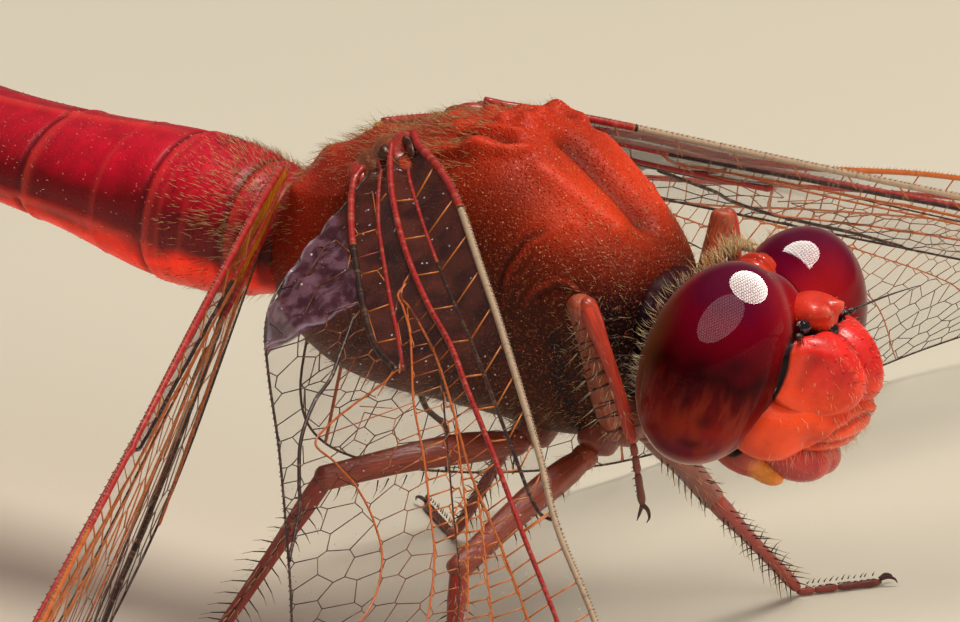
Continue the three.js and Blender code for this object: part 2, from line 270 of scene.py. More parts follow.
def addRods(shape, starts, ends, startRadii, endRadii, sides, pattern, detail):
    # Many straight rods at once.
    starts, ends = floats(starts), floats(ends)
    count = len(starts)
    axis = unitRows(ends - starts)
    helper = np.where(np.abs(axis[:, 2:]) < 0.8, [[0, 0, 1]], [[1, 0, 0]])
    normal = unitRows(np.cross(axis, helper))
    turned = wheel(circle(sides), normal, np.cross(axis, normal))
    rims = [places[:, None] + turned * np.broadcast_to(radii, count)[:, None, None]
            for places, radii in ((starts, startRadii), (ends, endRadii))]
    column = np.arange(sides)
    beside = (column + 1) % sides
    base = (np.arange(count) * 2 * sides)[:, None, None]
    quads = merged(column, beside, beside + sides, column + sides)[None] + base
    caps = np.stack([column[::-1], column + sides])[None] + base
    marks = (np.broadcast_to(values, (count, 3)).repeat(2 * sides, axis=0) for values in (pattern, detail))
    shape.add(np.concatenate(rims, axis=1), (quads.reshape(-1, 4), caps.reshape(-1, sides)), *marks)


def addHairs(shape, roots, ways, bends, lengths, radii, spots, tones):
    # Thin bent hairs: three sides, narrowing to a point. spots is where each root lies on an unwrap of the
    # skin, and every hair takes a small patch there.
    count = len(roots)
    ways = unitRows(ways)
    side = unitRows(np.cross(ways, (0.21, 0.31, 0.93)))
    lengths, radii = np.broadcast_to(lengths, count)[:, None], np.broadcast_to(radii, count)[:, None, None]
    rim = wheel(np.arange(3) * 2 * np.pi / 3, side, np.cross(ways, side)) * radii
    middle = roots + (ways * 0.55 + bends * 0.2) * lengths
    tip = roots + (ways * 0.95 + bends * 0.75) * lengths
    points = np.concatenate([roots[:, None] + rim, middle[:, None] + rim * 0.7, tip[:, None]], axis=1)
    a = np.arange(3)
    b = (a + 1) % 3
    base = (np.arange(count) * 7)[:, None, None]
    faces = merged(a, b, b + 3, a + 3), merged(a + 3, b + 3, np.full(3, 6)), np.array([[2, 1, 0]])
    faces = [(corners[None] + base).reshape(-1, corners.shape[1]) for corners in faces]
    along = np.array([0, 0, 0, 0.5, 0.5, 0.5, 1]) + np.zeros((count, 1))
    pattern = merged(along, np.asarray(tones)[:, None] + 0 * along, 0 * along)
    patch = 0.0013 * np.array([[-1, -1], [1, -1], [0, 1], [-1, 0], [1, 0], [0, 1.1], [0, 1.15]])
    shape.add(points, faces, pattern.reshape(-1, 3), None, (spots[:, None] + patch[None]).reshape(-1, 2))


def toRoute(points, route):
    # Distance from each point to a route, and how far along it (0 to 1) the nearest spot is.
    points, route = floats(points), floats(route)
    best, share = np.full(points.shape[:-1], 1e9), np.zeros(points.shape[:-1])
    for i in range(len(route) - 1):
        step = route[i + 1] - route[i]
        t = held(((points - route[i]) @ step) / (step @ step))
        gap = lengthOf(points - route[i] - t[..., None] * step)
        nearer = gap < best
        best = np.where(nearer, gap, best)
        share = np.where(nearer, (i + t) / (len(route) - 1), share)
    return best, share


def sphereRings(parallels, meridians):
    # Directions round a ball, poles on Z, without the poles themselves.
    down = np.linspace(0, np.pi, parallels + 2)[1:-1, None]
    turn = circle(meridians)
    return merged(np.sin(down) * np.cos(turn), np.sin(down) * np.sin(turn), np.cos(down) + 0 * turn)


def reachOf(ways, start, centre, radii, lean=0):
    # How far each way runs from start before it leaves an ellipsoid.
    turn = turnAbout("x", lean)
    origin = ((floats(start) - centre) @ turn) / radii
    ways = (ways @ turn) / radii
    a = (ways**2).sum(-1)
    b = ways @ origin
    c = origin @ origin - 1
    return np.maximum((-b + np.sqrt(np.maximum(b * b - a * c, 0))) / a, 0.01) * (b * b - a * c > 0) + 1e-3


def blend(reaches, sharpness):
    return (sum(reach**sharpness for reach in reaches)) ** (1 / sharpness)


bench = {}  # the material being made, its node tree and its shader


def fill(socket, value):
    # Links a socket to another one, or sets its own value.
    if isinstance(value, bpy.types.NodeSocket):
        bench["tree"].links.new(value, socket)
    else:
        socket.default_value = (*value, 1) if socket.type == "RGBA" else value


def node(kind, inputs, **settings):
    made = bench["tree"].nodes.new("ShaderNode" + kind)
    for key, value in settings.items():
        setattr(made, key, value)
    for key, value in inputs.items():
        fill(made.inputs[key], value)
    return made


def sums(operation, *values, clamp=False):
    return node("Math", dict(enumerate(values)), operation=operation, use_clamp=clamp).outputs[0]


def times(a, b):
    return sums("MULTIPLY", a, b)


def vector(operation, *values):
    return node("VectorMath", dict(enumerate(values)), operation=operation).outputs


def stretch(value, low, high, toLow=0, toHigh=1, kind="SMOOTHSTEP"):
    # Takes values from one span to another and holds them at its ends.
    inputs = {"Value": value, "From Min": low, "From Max": high, "To Min": toLow, "To Max": toHigh}
    return node("MapRange", inputs, interpolation_type=kind).outputs[0]


def paint(share, a, b, way="MIX"):
    return node("Mix", {0: share, 6: a, 7: b}, data_type="RGBA", blend_type=way).outputs[2]


def ramp(value, stops):
    made = node("ValToRGB", {"Fac": value})
    elements = made.color_ramp.elements
    while len(elements) < len(stops):
        elements.new(0.5)
    for element, (place, colour) in zip(elements, stops.items()):
        element.position = place
        element.color = (*colour, 1)
    return made.outputs["Color"]


def noise(place, scale, detail):
    return node("TexNoise", {"Vector": place, "Scale": scale, "Detail": detail}).outputs[0]


def specks(place, scale, size, share):
    # Round specks of a scattered pattern, of which only some are kept.
    cells = node("TexVoronoi", {"Vector": place, "Scale": scale}).outputs
    return times(stretch(cells["Distance"], *size), stretch(axes(cells["Color"])[0], *share))


def carried(word):
    return node("Attribute", {}, attribute_name=word).outputs["Vector"]


def axes(place):
    return node("SeparateXYZ", {0: place}).outputs


def spotMask(place, centre, reach, edge=0.5):
    # 1 inside a round or oval spot, falling to 0 at its reach.
    shift = vector("SUBTRACT", place, centre)[0]
    scaled = vector("MULTIPLY", shift, tuple(1 / r for r in reach))[0]
    return stretch(vector("LENGTH", scaled)["Value"], 1, edge)


def newMaterial(name):
    made = bpy.data.materials.new(name)
    made.use_nodes = True
    bench["material"], bench["tree"] = made, made.node_tree
    made.node_tree.nodes.clear()
    bench["shader"] = node("BsdfPrincipled", {})
    node("OutputMaterial", {"Surface": bench["shader"].outputs[0]})


def finished(**values):
    # Sets the shader's inputs and hands over the material.
    for key, value in values.items():
        fill(bench["shader"].inputs[key.replace("_", " ")], value)
    return bench["material"]


def bumped(height, depth, strength=1):
    return node("Bump", {"Height": height, "Distance": depth * mm, "Strength": strength}).outputs[0]


def newGroup(name, inputs, outputs):
    tree = bench["tree"] = bpy.data.node_groups.new(name, "ShaderNodeTree")
    for word, kind, value in inputs:
        socket = tree.interface.new_socket(word, in_out="INPUT", socket_type="NodeSocket" + kind)
        if value is not None:
            socket.default_value = value
    for word in outputs:
        tree.interface.new_socket(word, in_out="OUTPUT", socket_type="NodeSocketFloat")
    return tree, tree.nodes.new("NodeGroupInput").outputs, tree.nodes.new("NodeGroupOutput").inputs


def placed(group, **inputs):
    return node("Group", inputs, node_tree=group).outputs


def wavered(value, wave, height):
    # Moves a value up and down by a noise.
    return sums("MULTIPLY_ADD", sums("SUBTRACT", wave, 0.5), height, value)


def layered(colour, *coats):
    # Paints coats over a colour: where each lies, how thickly, and its colour.
    for mask, share, tint in coats:
        colour = paint(mask if share == 1 else times(mask, share), colour, tint)
    return colour


def shellMaterial(name, pitSize, grainSize):
    newMaterial(name)
    place, masks = carried("pattern"), axes(carried("detail"))
    return place, masks, placed(shellGrain, Place=place, PitSize=pitSize, GrainSize=grainSize)


def makeShellGrain():
    # Pits, fine grain and stray pale flecks painted as tiny glints, which every plate of the shell has at its
    # own size.
    tree, given, result = newGroup("shellGrain", [
        ("Place", "Vector", None), ("PitSize", "Float", 0.12), ("GrainSize", "Float", 0.05),
    ], ("Height", "Mottle", "GlintFleck"))
    place = given["Place"]
    pitScale, grainScale = (sums("DIVIDE", 1, given[word]) for word in ("PitSize", "GrainSize"))
    pits = node("TexVoronoi", {"Vector": place, "Scale": pitScale}).outputs["Distance"]
    fill(result["Height"], sums("MULTIPLY_ADD", noise(place, grainScale, 3), 0.6, stretch(pits, 0.05, 0.4)))
    fill(result["Mottle"], stretch(noise(place, 1.7, 4), 0.35, 0.65))
    fill(result["GlintFleck"], specks(place, times(pitScale, 0.8), (0.22, 0.1), (0.72, 0.8)))
    return tree


def makeFacetGrid():
    # Six-sided lenses a step apart, as heights: three sets of waves crossing at 60 degrees.
    tree, given, result = newGroup("facetGrid", [
        ("Place", "Vector", None), ("Step", "Float", 0.06),
    ], ("Height",))
    turns = sums("DIVIDE", 2 * math.pi / math.cos(math.radians(30)), given["Step"])
    total = None
    for degrees in (0, 60, 120):
        way = (math.cos(math.radians(degrees)), math.sin(math.radians(degrees)), 0)
        wave = sums("COSINE", times(vector("DOT_PRODUCT", given["Place"], way)["Value"], turns))
        total = wave if total is None else sums("ADD", total, wave)
    fill(result["Height"], sums("MULTIPLY_ADD", total, 0.22, 0.33))
    return tree


shellGrain = makeShellGrain()
facetGrid = makeFacetGrid()
print("helpers ready")


# Pieces grouped by the lamps meant for them alone.
lightGroups = {word: bpy.data.collections.new(word) for word in ("eyeRight", "eyeLeft", "sheen", "belly")}
view = {
    "azimuth": 34, "elevation": 19, "distance": 180, "sensor": 36, "lens": 297,
    "headRight": 6.25, "headUp": -0.636,  # where the head's centre lies from the middle of the frame
}


def makeCamera():
    a, e = math.radians(view["azimuth"]), math.radians(view["elevation"])
    right = Vector((math.cos(a), math.sin(a), 0))
    back = Vector((math.sin(a) * math.cos(e), -math.cos(a) * math.cos(e), math.sin(e)))
    up = back.cross(right)
    head = Vector(headCentre * mm + bodyOrigin)
    data = bpy.data.cameras.new("camera")
    data.lens, data.sensor_width = view["lens"], view["sensor"]
    data.clip_start, data.clip_end = 0.01, 10
    camera = addObject("camera", data)
    shift = back * view["distance"] - right * view["headRight"] - up * view["headUp"]
    camera.location = head + shift * mm
    camera.rotation_mode = "QUATERNION"
    camera.rotation_quaternion = Matrix((right, up, back)).transposed().to_quaternion()
    scene.camera = camera


# Soft boxes: where each hangs from the head, how far off and how wide in millimetres, its power and colour.
# Those named after a group of pieces reach that group alone, and all but the belly's only as reflections.
softBoxes = {
    "overhead": ((0.14, 0.1, 0.98), 260, (120, 120), 0.62, (1, 0.94, 0.84)),
    "front": ((0.27, -0.62, 0.73), 300, (150, 150), 0.1, (1, 0.95, 0.92)),
    "face": ((0.93, -0.1, 0.35), 260, (180, 180), 0.34, (1, 0.95, 0.88)),
    "belly": ((-0.35, -0.93, 0.04), 260, (120, 40), 0.4, (1, 0.93, 0.84)),
    "behind": ((-0.35, 0.75, 0.55), 300, (200, 200), 0.16, (1, 0.93, 0.84)),
    "sheen": ((0.14, 0.1, 0.98), 260, (60, 60), 0.6, (1, 0.95, 0.88)),
    "eyeRightBright": ((0.36, 0.5, 0.9), 260, (330, 318), 27, (1, 0.95, 0.84)),
    "eyeRightDim": ((0.37, -0.55, 0.73), 260, (390, 280), 3.3, (1, 0.74, 0.76)),
    "eyeLeftBright": ((0.05, -0.12, 0.99), 260, (420, 330), 38, (1, 0.96, 0.86)),
}


def makeLights():
    head = Vector(headCentre * mm + bodyOrigin)
    for name, (way, away, sizes, power, colour) in softBoxes.items():
        data = bpy.data.lights.new(name, "AREA")
        data.shape = "ELLIPSE"
        data.size, data.size_y = (size * mm for size in sizes)
        data.energy, data.color = power, colour
        lamp = addObject(name, data)
        way = Vector(way).normalized()
        lamp.location = head + way * away * mm
        lamp.rotation_mode = "QUATERNION"
        lamp.rotation_quaternion = way.to_track_quat("Z", "Y")
        group = next((word for word in lightGroups if name.startswith(word)), None)
        if group:
            lamp.light_linking.receiver_collection = lightGroups[group]
        lamp.visible_diffuse = group in (None, "belly")
        lamp.visible_glossy = not lamp.visible_diffuse
    world = bpy.data.worlds.new("studio")
    world.use_nodes = True
    background = world.node_tree.nodes["Background"]
    background.inputs["Color"].default_value = (0.93, 0.9, 0.86, 1)
    background.inputs["Strength"].default_value = 0.13
    scene.world = world
    scene.view_settings.view_transform = "Standard"


def makeFloor():
    size = 1.5
    corners = [(x * size, y * size, 0) for x, y in ((-1, -1), (1, -1), (1, 1), (-1, 1))]
    mesh = bpy.data.meshes.new("floor")
    mesh.from_pydata(corners, [], [(0, 1, 2, 3)])
    newMaterial("paleFloor")
    cloud = noise(node("TexCoord", {}).outputs["Object"], 9, 2)
    colour = paint(stretch(cloud, 0.3, 0.7), (0.62, 0.57, 0.47), (0.66, 0.61, 0.51))
    mesh.materials.append(finished(Base_Color=colour, Roughness=0.85))
    addObject("floor", mesh)


makeCamera()
makeLights()
makeFloor()
print("camera, light and floor ready")


eyes = {
    "radii": (1.6, 1.84, 2.46), "out": 1.68, "drop": -0.1, "lean": 10, "gap": 0.015,
    "bridge": ((0.2, 0.35, 0.72), (1, 0.9, 1.1)),  # fills the valley between the two
    "facetStep": 0.062, "facetAxis": (0.72, 0.62, 0.3),
    "spots": [  # dark spots: centre and size
        ((0.5, 3.34, 0.6), (0.55, 0.8, 0.5)), ((1.1, 2.84, 0.75), (0.5, 0.8, 0.42)),
        ((0.42, 3.5, -0.3), (0.18, 0.6, 0.6)), ((0.9, 3.2, -0.7), (0.26, 0.6, 0.4)),
        ((0.7, 3.1, -1.4), (0.4, 0.7, 0.26)), ((1.6, 1.4, 0.4), (0.45, 0.6, 1)),
        ((1.55, 1.55, -0.7), (0.4, 0.5, 0.9)),
    ],
}


eyeCentre = np.array([0, eyes["out"], eyes["drop"]])


def eyeMaterial():
    newMaterial("eyeLens")
    place = carried("pattern")
    x, y, z = axes(place)
    high = wavered(stretch(z, -2.45, 2.45, kind="LINEAR"), noise(place, 0.9, 2), 0.22)
    # Brighter red towards the seam and the face, golden brown along the rear edge.
    inner = times(times(stretch(y, 2.3, 0.7), stretch(z, -0.4, 1)), stretch(x, 0, 1.2))
    streaks = noise(vector("MULTIPLY", place, (2.6, 2.6, 0.7))[0], 1.2, 3)
    lower = times(stretch(streaks, 0.42, 0.62), stretch(z, 0.5, -0.6))
    rear = times(stretch(x, -0.35, -1.15), stretch(z, 1.9, 0.6))
    # Painted reflection of the pale floor: paler where the surface turns away from view, most along the lower
    # edge, where a cream edge is painted too.
    away = node("LayerWeight", {"Blend": 0.4}).outputs["Facing"]
    rim = times(stretch(away, 0.45, 0.95), stretch(z, -0.5, -1.9, 0.45, 1))
    edge = times(stretch(away, 0.76, 0.94), stretch(z, -0.4, -1.3))
    colour = layered(
        ramp(high, {
            0: (0.34, 0.16, 0.14), 0.05: (0.24, 0.07, 0.075), 0.14: (0.13, 0.012, 0.026),
            0.3: (0.26, 0.012, 0.008), 0.44: (0.1, 0.003, 0.004), 0.56: (0.035, 0.0005, 0.002),
            0.66: (0.11, 0.001, 0.005), 0.8: (0.15, 0.001, 0.01), 0.9: (0.1, 0.003, 0.02),
            1: (0.1, 0.01, 0.03),
        }),
        (inner, 1, (0.36, 0.01, 0.012)), (lower, 0.7, (0.27, 0.028, 0.012)), (rear, 0.8, (0.13, 0.05, 0.014)),
        *((spotMask(place, *spot, 0), 0.62, (0.012, 0.001, 0.003)) for spot in eyes["spots"]),
        # painted reflection along the turned-away edges
        (rim, 0.7, (0.5, 0.28, 0.26)), (edge, 0.85, (0.95, 0.8, 0.62)),
    )
    facets = placed(facetGrid, Place=carried("detail"), Step=eyes["facetStep"])["Height"]
    shade = node("CombineXYZ", dict.fromkeys(range(3), stretch(facets, 0.1, 0.6, 0.82, 1))).outputs[0]
    return finished(
        Base_Color=paint(1, colour, shade, "MULTIPLY"), Roughness=0.35, Specular_IOR_Level=0,
        Coat_Weight=times(stretch(facets, 0.05, 0.55, 0.4, 1), stretch(y, 0.6, 0.66)), Coat_IOR=1.18,
        Coat_Roughness=0, Normal=bumped(facets, 0.006, 0.6), Coat_Normal=bumped(facets, 0.0002, 0.5),
    )


def makeEyes():
    material = eyeMaterial()
    ways = sphereRings(150, 220)
    axis = unitRows(np.array(eyes["facetAxis"]))
    first = unitRows(np.cross(axis, (0, 0, 1)))
    second = np.cross(first, axis)
    # Worked out for the left eye, on its outward side, and mirrored.
    own = reachOf(ways, eyeCentre, eyeCentre, eyes["radii"], eyes["lean"])
    reach = blend([own, reachOf(ways, eyeCentre, *eyes["bridge"])], 14)
    local = eyeCentre + ways * reach[..., None]
    local[..., 1] = np.maximum(local[..., 1], eyes["gap"])
    tilt = unitRows(ways @ turnAbout("x", eyes["lean"]))
    spread = np.sqrt(2 / (1 + np.clip(tilt @ axis, -0.98, 1)))
    lens = merged((tilt @ first) * spread * 2.05, (tilt @ second) * spread * 2.05, 0 * spread)
    for word, lower, side in sidesOfBody:
        makeLoft("eye" + word, sided(local, side), material, local, lens, fromHead, ["eye_" + lower])


makeEyes()
print("eyes made")


# Each plate is swelled out from its own middle by forms (centre, radii) that blend into one another.
# Lines are carved into it: route, height, width.
facePlates = {
    "frons": {
        "middle": (1.25, 0, 0.25), "rings": (120, 150), "sharpness": 16,
        "forms": [((1.2, 0, 0.2), (1.35, 1.85, 0.86)), ((1.85, 0.52, 0.3), (1.3, 1.2, 1))],
        "panelWay": (0.515, 0.825, 0.215), "panelDepth": 2.2, "panelDish": 0.05,  # flat shields
        "lines": [
            ([(1.6, 0, 1.28), (2.2, 0, 1.25), (2.7, 0, 1), (3.02, 0, 0.6), (3.08, 0, 0.2), (2.95, 0, -0.4)],
             -0.1, 0.17),
            ([(2.06, 1.16, 0.9), (2.04, 1.27, 0.6), (2.02, 1.34, 0.3)], -0.04, 0.17),
        ],
    },
    "clypeus": {
        "middle": (1.05, 0, -0.95), "rings": (110, 150), "sharpness": 14,
        "forms": [((1.45, 0, -0.7), (1.56, 1.66, 0.5)), ((1.35, 1.2, -1.14), (1.06, 0.76, 0.8)),
                  ((1.8, 0.25, -0.88), (1.22, 1, 0.78)), ((1.88, 0.45, -0.5), (1.1, 0.92, 0.55))],
        "lobeEdge": [(1.9, 1.25, -2), (2.2, 1.15, -1.75), (2.41, 1.08, -1.4), (2.58, 1, -1.1),
                     (2.78, 0.95, -0.72), (2.9, 0.7, -0.5), (2.98, 0.3, -0.36), (3, 0, -0.32)],
        "folds": [
            ([(2.3, 1.1, -1.7), (2.51, 0.98, -1.22), (2.8, 0.85, -0.92), (3, 0.56, -0.8), (3.06, 0, -0.78)],
             0.035, 0.05),
            ([(2.3, 1.05, -1.8), (2.5, 0.95, -1.35), (2.8, 0.76, -1.05), (2.96, 0.4, -0.93), (3.02, 0, -0.9)],
             -0.045, 0.05),
        ],
    },
    "labrum": {
        "middle": (1.6, 0, -2.05), "rings": (70, 110), "sharpness": 14,
        "forms": [((1.78, 0.25, -2.03), (0.96, 0.72, 0.53)), ((1.78, 0, -1.9), (0.98, 0.98, 0.48))],
        "lines": [([(2.2, 0, -2.6), (2.75, 0, -2.25), (2.85, 0, -1.8)], -0.05, 0.1),
                  ([(2.1, 1.1, -1.75), (2.5, 0.8, -1.6), (2.85, 0.3, -1.5), (2.9, 0, -1.48)], -0.035, 0.05)],
    },
    "labium": {
        "middle": (0.7, 0, -2.3), "rings": (70, 110), "sharpness": 12,
        "forms": [((0.82, 0, -2.36), (1.2, 0.95, 0.42)), ((0.9, 0.85, -2.32), (0.82, 0.46, 0.42)),
                  ((1.62, 0.78, -2.42), (0.46, 0.24, 0.3)), ((1.2, 1.15, -1.98), (0.4, 0.3, 0.4))],
        "lines": [([(2, 0.98, -2.2), (1.55, 1.05, -2.5), (1.2, 0.7, -2.75), (0.3, 0.55, -2.8)], -0.07, 0.07),
                  ([(1.9, 0, -2.6), (1.2, 0, -2.85), (0.2, 0, -2.85)], -0.06, 0.05)],
    },
    "vertex": {
        "middle": (1.3, 0, 1.45), "rings": (80, 110), "sharpness": 8,
        "forms": [((1.15, 0, 1.34), (0.58, 0.62, 0.42)), ((1.34, 0.18, 1.56), (0.38, 0.36, 0.2)),
                  ((1.5, 0, 1.3), (0.3, 0.3, 0.36))],
        "lines": [([(1.5, 0, 1.85), (1.7, 0, 1.7), (1.85, 0, 1.5)], -0.05, 0.14),
                  ([(0.7, 0.5, 1.3), (1.15, 0.66, 1.1), (1.6, 0.45, 1.02), (1.75, 0, 0.9)], -0.04, 0.14)],
    },
}


def swollen(plate):
    # Rings of a plate from (centre, radii) forms. A form off the midline is mirrored.
    ways, middle = sphereRings(*plate["rings"]), np.array(plate["middle"])
    reaches = [reachOf(ways, middle, sided(centre, side), radii)
               for centre, radii in plate["forms"] for side in ((1, -1) if centre[1] else (1,))]
    reach = blend(reaches, plate["sharpness"])
    return ways, middle, reach, middle + ways * reach[..., None]


def carve(points, ways, *lines):
    # Raises or sinks a soft-edged line along each route, on both halves, and gives each line's mask.
    masks = []
    for route, height, width in lines:
        mask = 0
        for side in (1, -1):
            mask = np.maximum(mask, bell(toRoute(points, sided(route, side))[0], width))
        points = points + ways * (mask * height)[..., None]
        masks.append(mask)
    return points, *masks


def onSurface(points, route):
    # The route moved to the nearest places on the shape.
    spots = smoothRoute(route, 0.08)
    near = points.reshape(-1, 3)
    picked = np.array([near[np.argmin(((near - spot) ** 2).sum(axis=1))] for spot in spots])
    return spots + (picked - spots) * 0.95


def outsideEye(points):
    # How far each point stands outside the eye of its own side.
    local = points * np.where(points[..., 1:2] < 0, (1, -1, 1), (1, 1, 1)) - eyeCentre
    size = lengthOf((local @ turnAbout("x", eyes["lean"])) / np.array(eyes["radii"]))
    return lengthOf(local) * (1 - 1 / np.maximum(size, 0.05))


def addFrons(plate):
    ways, middle, reach, _ = swollen(plate)
    rim = dish = 0
    shield = reach
    for side in (1, -1):
        facing = unitRows(sided(plate["panelWay"], side))
        flat = (plate["panelDepth"] - middle @ facing) / np.maximum(ways @ facing, 1e-3)
        crisp = 24 - 15 * held((ways[..., 2] - 0.25) / 0.35)
        shield = (shield**-crisp + flat**-crisp) ** (-1 / crisp)
        inside = (reach - flat) * (ways @ facing > 0.25)
        rim = np.maximum(rim, bell(inside - 0.01, 0.028) * (ways @ facing > 0.25))
        dish = np.maximum(dish, held((inside - 0.05) / 0.3))
    rim = rim * held((0.55 - ways[..., 2]) / 0.3)
    points = middle + ways * (shield + 0.03 * rim - plate["panelDish"] * dish)[..., None]
    points, cleft, dents = carve(points, ways, *plate["lines"])
    x, y, z = np.moveaxis(points, -1, 0)
    # The back of the frons drops to the groove in front of the ocelli, which is painted black as shade.
    border = 1.9 - 0.75 * np.clip(np.abs(y) - 0.65, 0, 0.65)
    drop = held((border - x) / 0.55) * held((z - 0.5) / 0.5)
    z -= 0.3 * drop**1.5
    # A crevice runs down between the frons and the eye, sunk in and painted dark as shade.
    wide = 0.09 + 0.14 * held((z + 0.6) / 1.2)
    crevice = held(1.25 - outsideEye(points) / wide) * held((z + 0.75) / 0.7)
    points -= ways * (0.05 * crevice)[..., None]
    black = np.maximum(held((drop - 0.22) / 0.2), crevice * 0.8)
    # The rims carry the painted highlight, the cleft and dents the painted shade, the groove and crevice a
    # black painted shade.
    return points, merged(rim * (1 - cleft), np.maximum(cleft * 0.5, dents), black)


def addClypeus(plate):
    ways, _, _, plain = swollen(plate)
    # The swollen side lobe stands above the middle, which carries two folds.
    lobeEdge = onSurface(plain, plate["lobeEdge"])
    under = [(x + 0.08, y - 0.08, z - 0.13) for x, y, z in lobeEdge]
    points, rim = carve(plain, ways, (lobeEdge, 0.06, 0.06))
    masks = []
    for route, height, width in ((under, -0.09, 0.07), *plate["folds"]):
        points, mask = carve(points, ways, (onSurface(points, route), height, width))
        masks.append(mask)
    first, raised, second = masks
    aside = held(np.abs(plain[..., 1]) / 0.7)[..., None]
    points = plain + (points - plain) * (0.25 + 0.75 * aside)
    # Fine upright wrinkles on the lower band.
    crevice = held(1.25 - outsideEye(points) / 0.2)
    wrinkle = bell(points[..., 2] + 1.2, 0.2) * np.cos(points[..., 1] * 42)
    points = points + ways * (0.01 * wrinkle)[..., None]
    # The lobe's edge and the raised fold are painted pale as highlights; the sunken folds and the crevice
    # against the eye are painted dark as shade.
    pale = np.maximum(rim * 0.7, raised)
    return points, merged(pale, np.maximum(np.maximum(first, second) * (1 - pale), crevice), 0 * rim)


def addLabrum(plate):
    ways, _, _, points = swollen(plate)
    points, cleft, sunk = carve(points, ways, *plate["lines"])
    return points, merged(0 * cleft, np.maximum(cleft, sunk), 0 * cleft)


def addLabium(plate):
    ways, _, _, points = swollen(plate)
    points, cleft, seam = carve(points, ways, *plate["lines"])
    x, _, z = np.moveaxis(points, -1, 0)
    palp = held((x - 1.35) / 0.12) * held((-1.9 - z) / 0.2)
    # Painted shade in the gap against the eye.
    gapShade = held(1.3 - outsideEye(points) / 0.2) * held((x - 0.6) / 0.3)
    return points, merged(palp, np.maximum(cleft, seam), gapShade)


def addVertex(plate):
    ways, middle, reach, _ = swollen(plate)
    # A blunt horn at each front corner.
    horn = 0
    for side in (1, -1):
        turn = np.arccos(np.clip(ways @ unitRows(sided((0.42, 0.34, 0.34), side)), -1, 1))
        horn = np.maximum(horn, held(1 - turn / 0.55) ** 1.7)
    points, cleft, black = carve(middle + ways * (reach + 0.15 * horn)[..., None], ways, *plate["lines"])
    # The horns are painted pale as highlights, the groove beneath painted black as shade.
    return points, merged(horn**2, cleft * 0.4, black)


def faceMaterial(name, high, low, shade, pale, roughness, coat, sheen=0.3):
    # Waxy coloured shell: one colour above, another below, darker in the creases as painted shade, paler on
    # the raised rims as a painted highlight.
    place, masks, grain = shellMaterial(name, 0.1, 0.035)
    drift = noise(place, 1.3, 3)
    fall = wavered(axes(place)[2], drift, 1.6)
    aside = stretch(sums("MULTIPLY_ADD", drift, 0.5, sums("ABSOLUTE", axes(place)[1])), 1.2, 1.75)
    colour = layered(
        high[1], (stretch(fall, high[0], low[0]), 1, low[1]), (grain["Mottle"], 0.35, shade),
        (masks[1], 0.7, shade), (masks[0], 0.55, pale), (aside, 0.6, low[1]),  # warmer towards the eyes
        # Painted shade: nearly black in the deep grooves and in the gaps against the eyes.
        (stretch(masks[2], 0.25, 0.6), 1, (0.006, 0.003, 0.004)),
    )
    height = times(grain["Height"], 0.5)
    return finished(
        Base_Color=colour, Roughness=roughness, Specular_IOR_Level=sheen,
        Coat_Weight=times(stretch(masks[2], 0.5, 0.2), coat), Coat_Roughness=0.1,
        Normal=bumped(height, 0.012, 0.7), Coat_Normal=bumped(height, 0.006, 0.7),
    )


faceGrids = {}  # each plate's points and outward ways, for its hair


def makeFace():
    red = faceMaterial("faceShell", (0.9, (0.8, 0.028, 0.022)), (-0.6, (0.94, 0.085, 0.022)),
                       (0.26, 0.003, 0.003), (0.92, 0.16, 0.08), 0.38, 0.3, 0.2)
    lip = faceMaterial("lipShell", (-1.6, (0.6, 0.07, 0.055)), (-2.4, (0.44, 0.045, 0.042)),
                       (0.22, 0.01, 0.018), (0.6, 0.12, 0.1), 0.36, 0.3)
    jaw = faceMaterial("jawShell", (-1.7, (0.05, 0.012, 0.006)), (-2.15, (0.5, 0.07, 0.05)),
                       (0.12, 0.02, 0.006), (0.95, 0.36, 0.02), 0.42, 0.25)
    crest = faceMaterial("crestShell", (1.9, (0.66, 0.035, 0.016)), (1.1, (0.55, 0.03, 0.006)),
                         (0.32, 0.008, 0.004), (0.85, 0.25, 0.15), 0.36, 0.35)
    makers = {"frons": (addFrons, red, "face"), "clypeus": (addClypeus, red, "face"),
              "labrum": (addLabrum, lip, "mouthpart"), "labium": (addLabium, jaw, "mouthpart"),
              "vertex": (addVertex, crest, "face")}
    for name, (maker, material, slotName) in makers.items():
        points, masks = maker(facePlates[name])
        faceGrids[name] = points, unitRows(points - np.array(facePlates[name]["middle"]))
        makeLoft(name + "Plate", points, material, points, masks, fromHead, [name])


occiput = {
    "middle": (-0.45, 0, 1.42), "rings": (40, 60), "sharpness": 8,
    "forms": [((-0.45, 0, 1.42), (0.55, 0.56, 0.58)), ((-0.15, 0, 1.52), (0.34, 0.17, 0.33))],
    "line": ([(-1, 0.2, 1.75), (-0.6, 0.17, 2), (-0.2, 0.1, 1.9), (0.1, 0.03, 1.75)], -0.09, 0.08),
}
ocelli = (((1.4, 0.7, 1.27), 0.19), ((1.4, -0.7, 1.27), 0.19), ((1.76, 0, 1.17), 0.18))


def darkMaterial(name, colour, second, roughness, coat):
    newMaterial(name)
    grain = placed(shellGrain, Place=carried("pattern"), PitSize=0.09, GrainSize=0.04)
    mixed = layered(colour, (grain["Mottle"], 1, second), (grain["GlintFleck"], 0.4, (0.35, 0.25, 0.2)))
    return finished(Base_Color=mixed, Roughness=roughness, Coat_Weight=coat, Coat_Roughness=0.08,
                    Normal=bumped(grain["Height"], 0.008, 0.6))


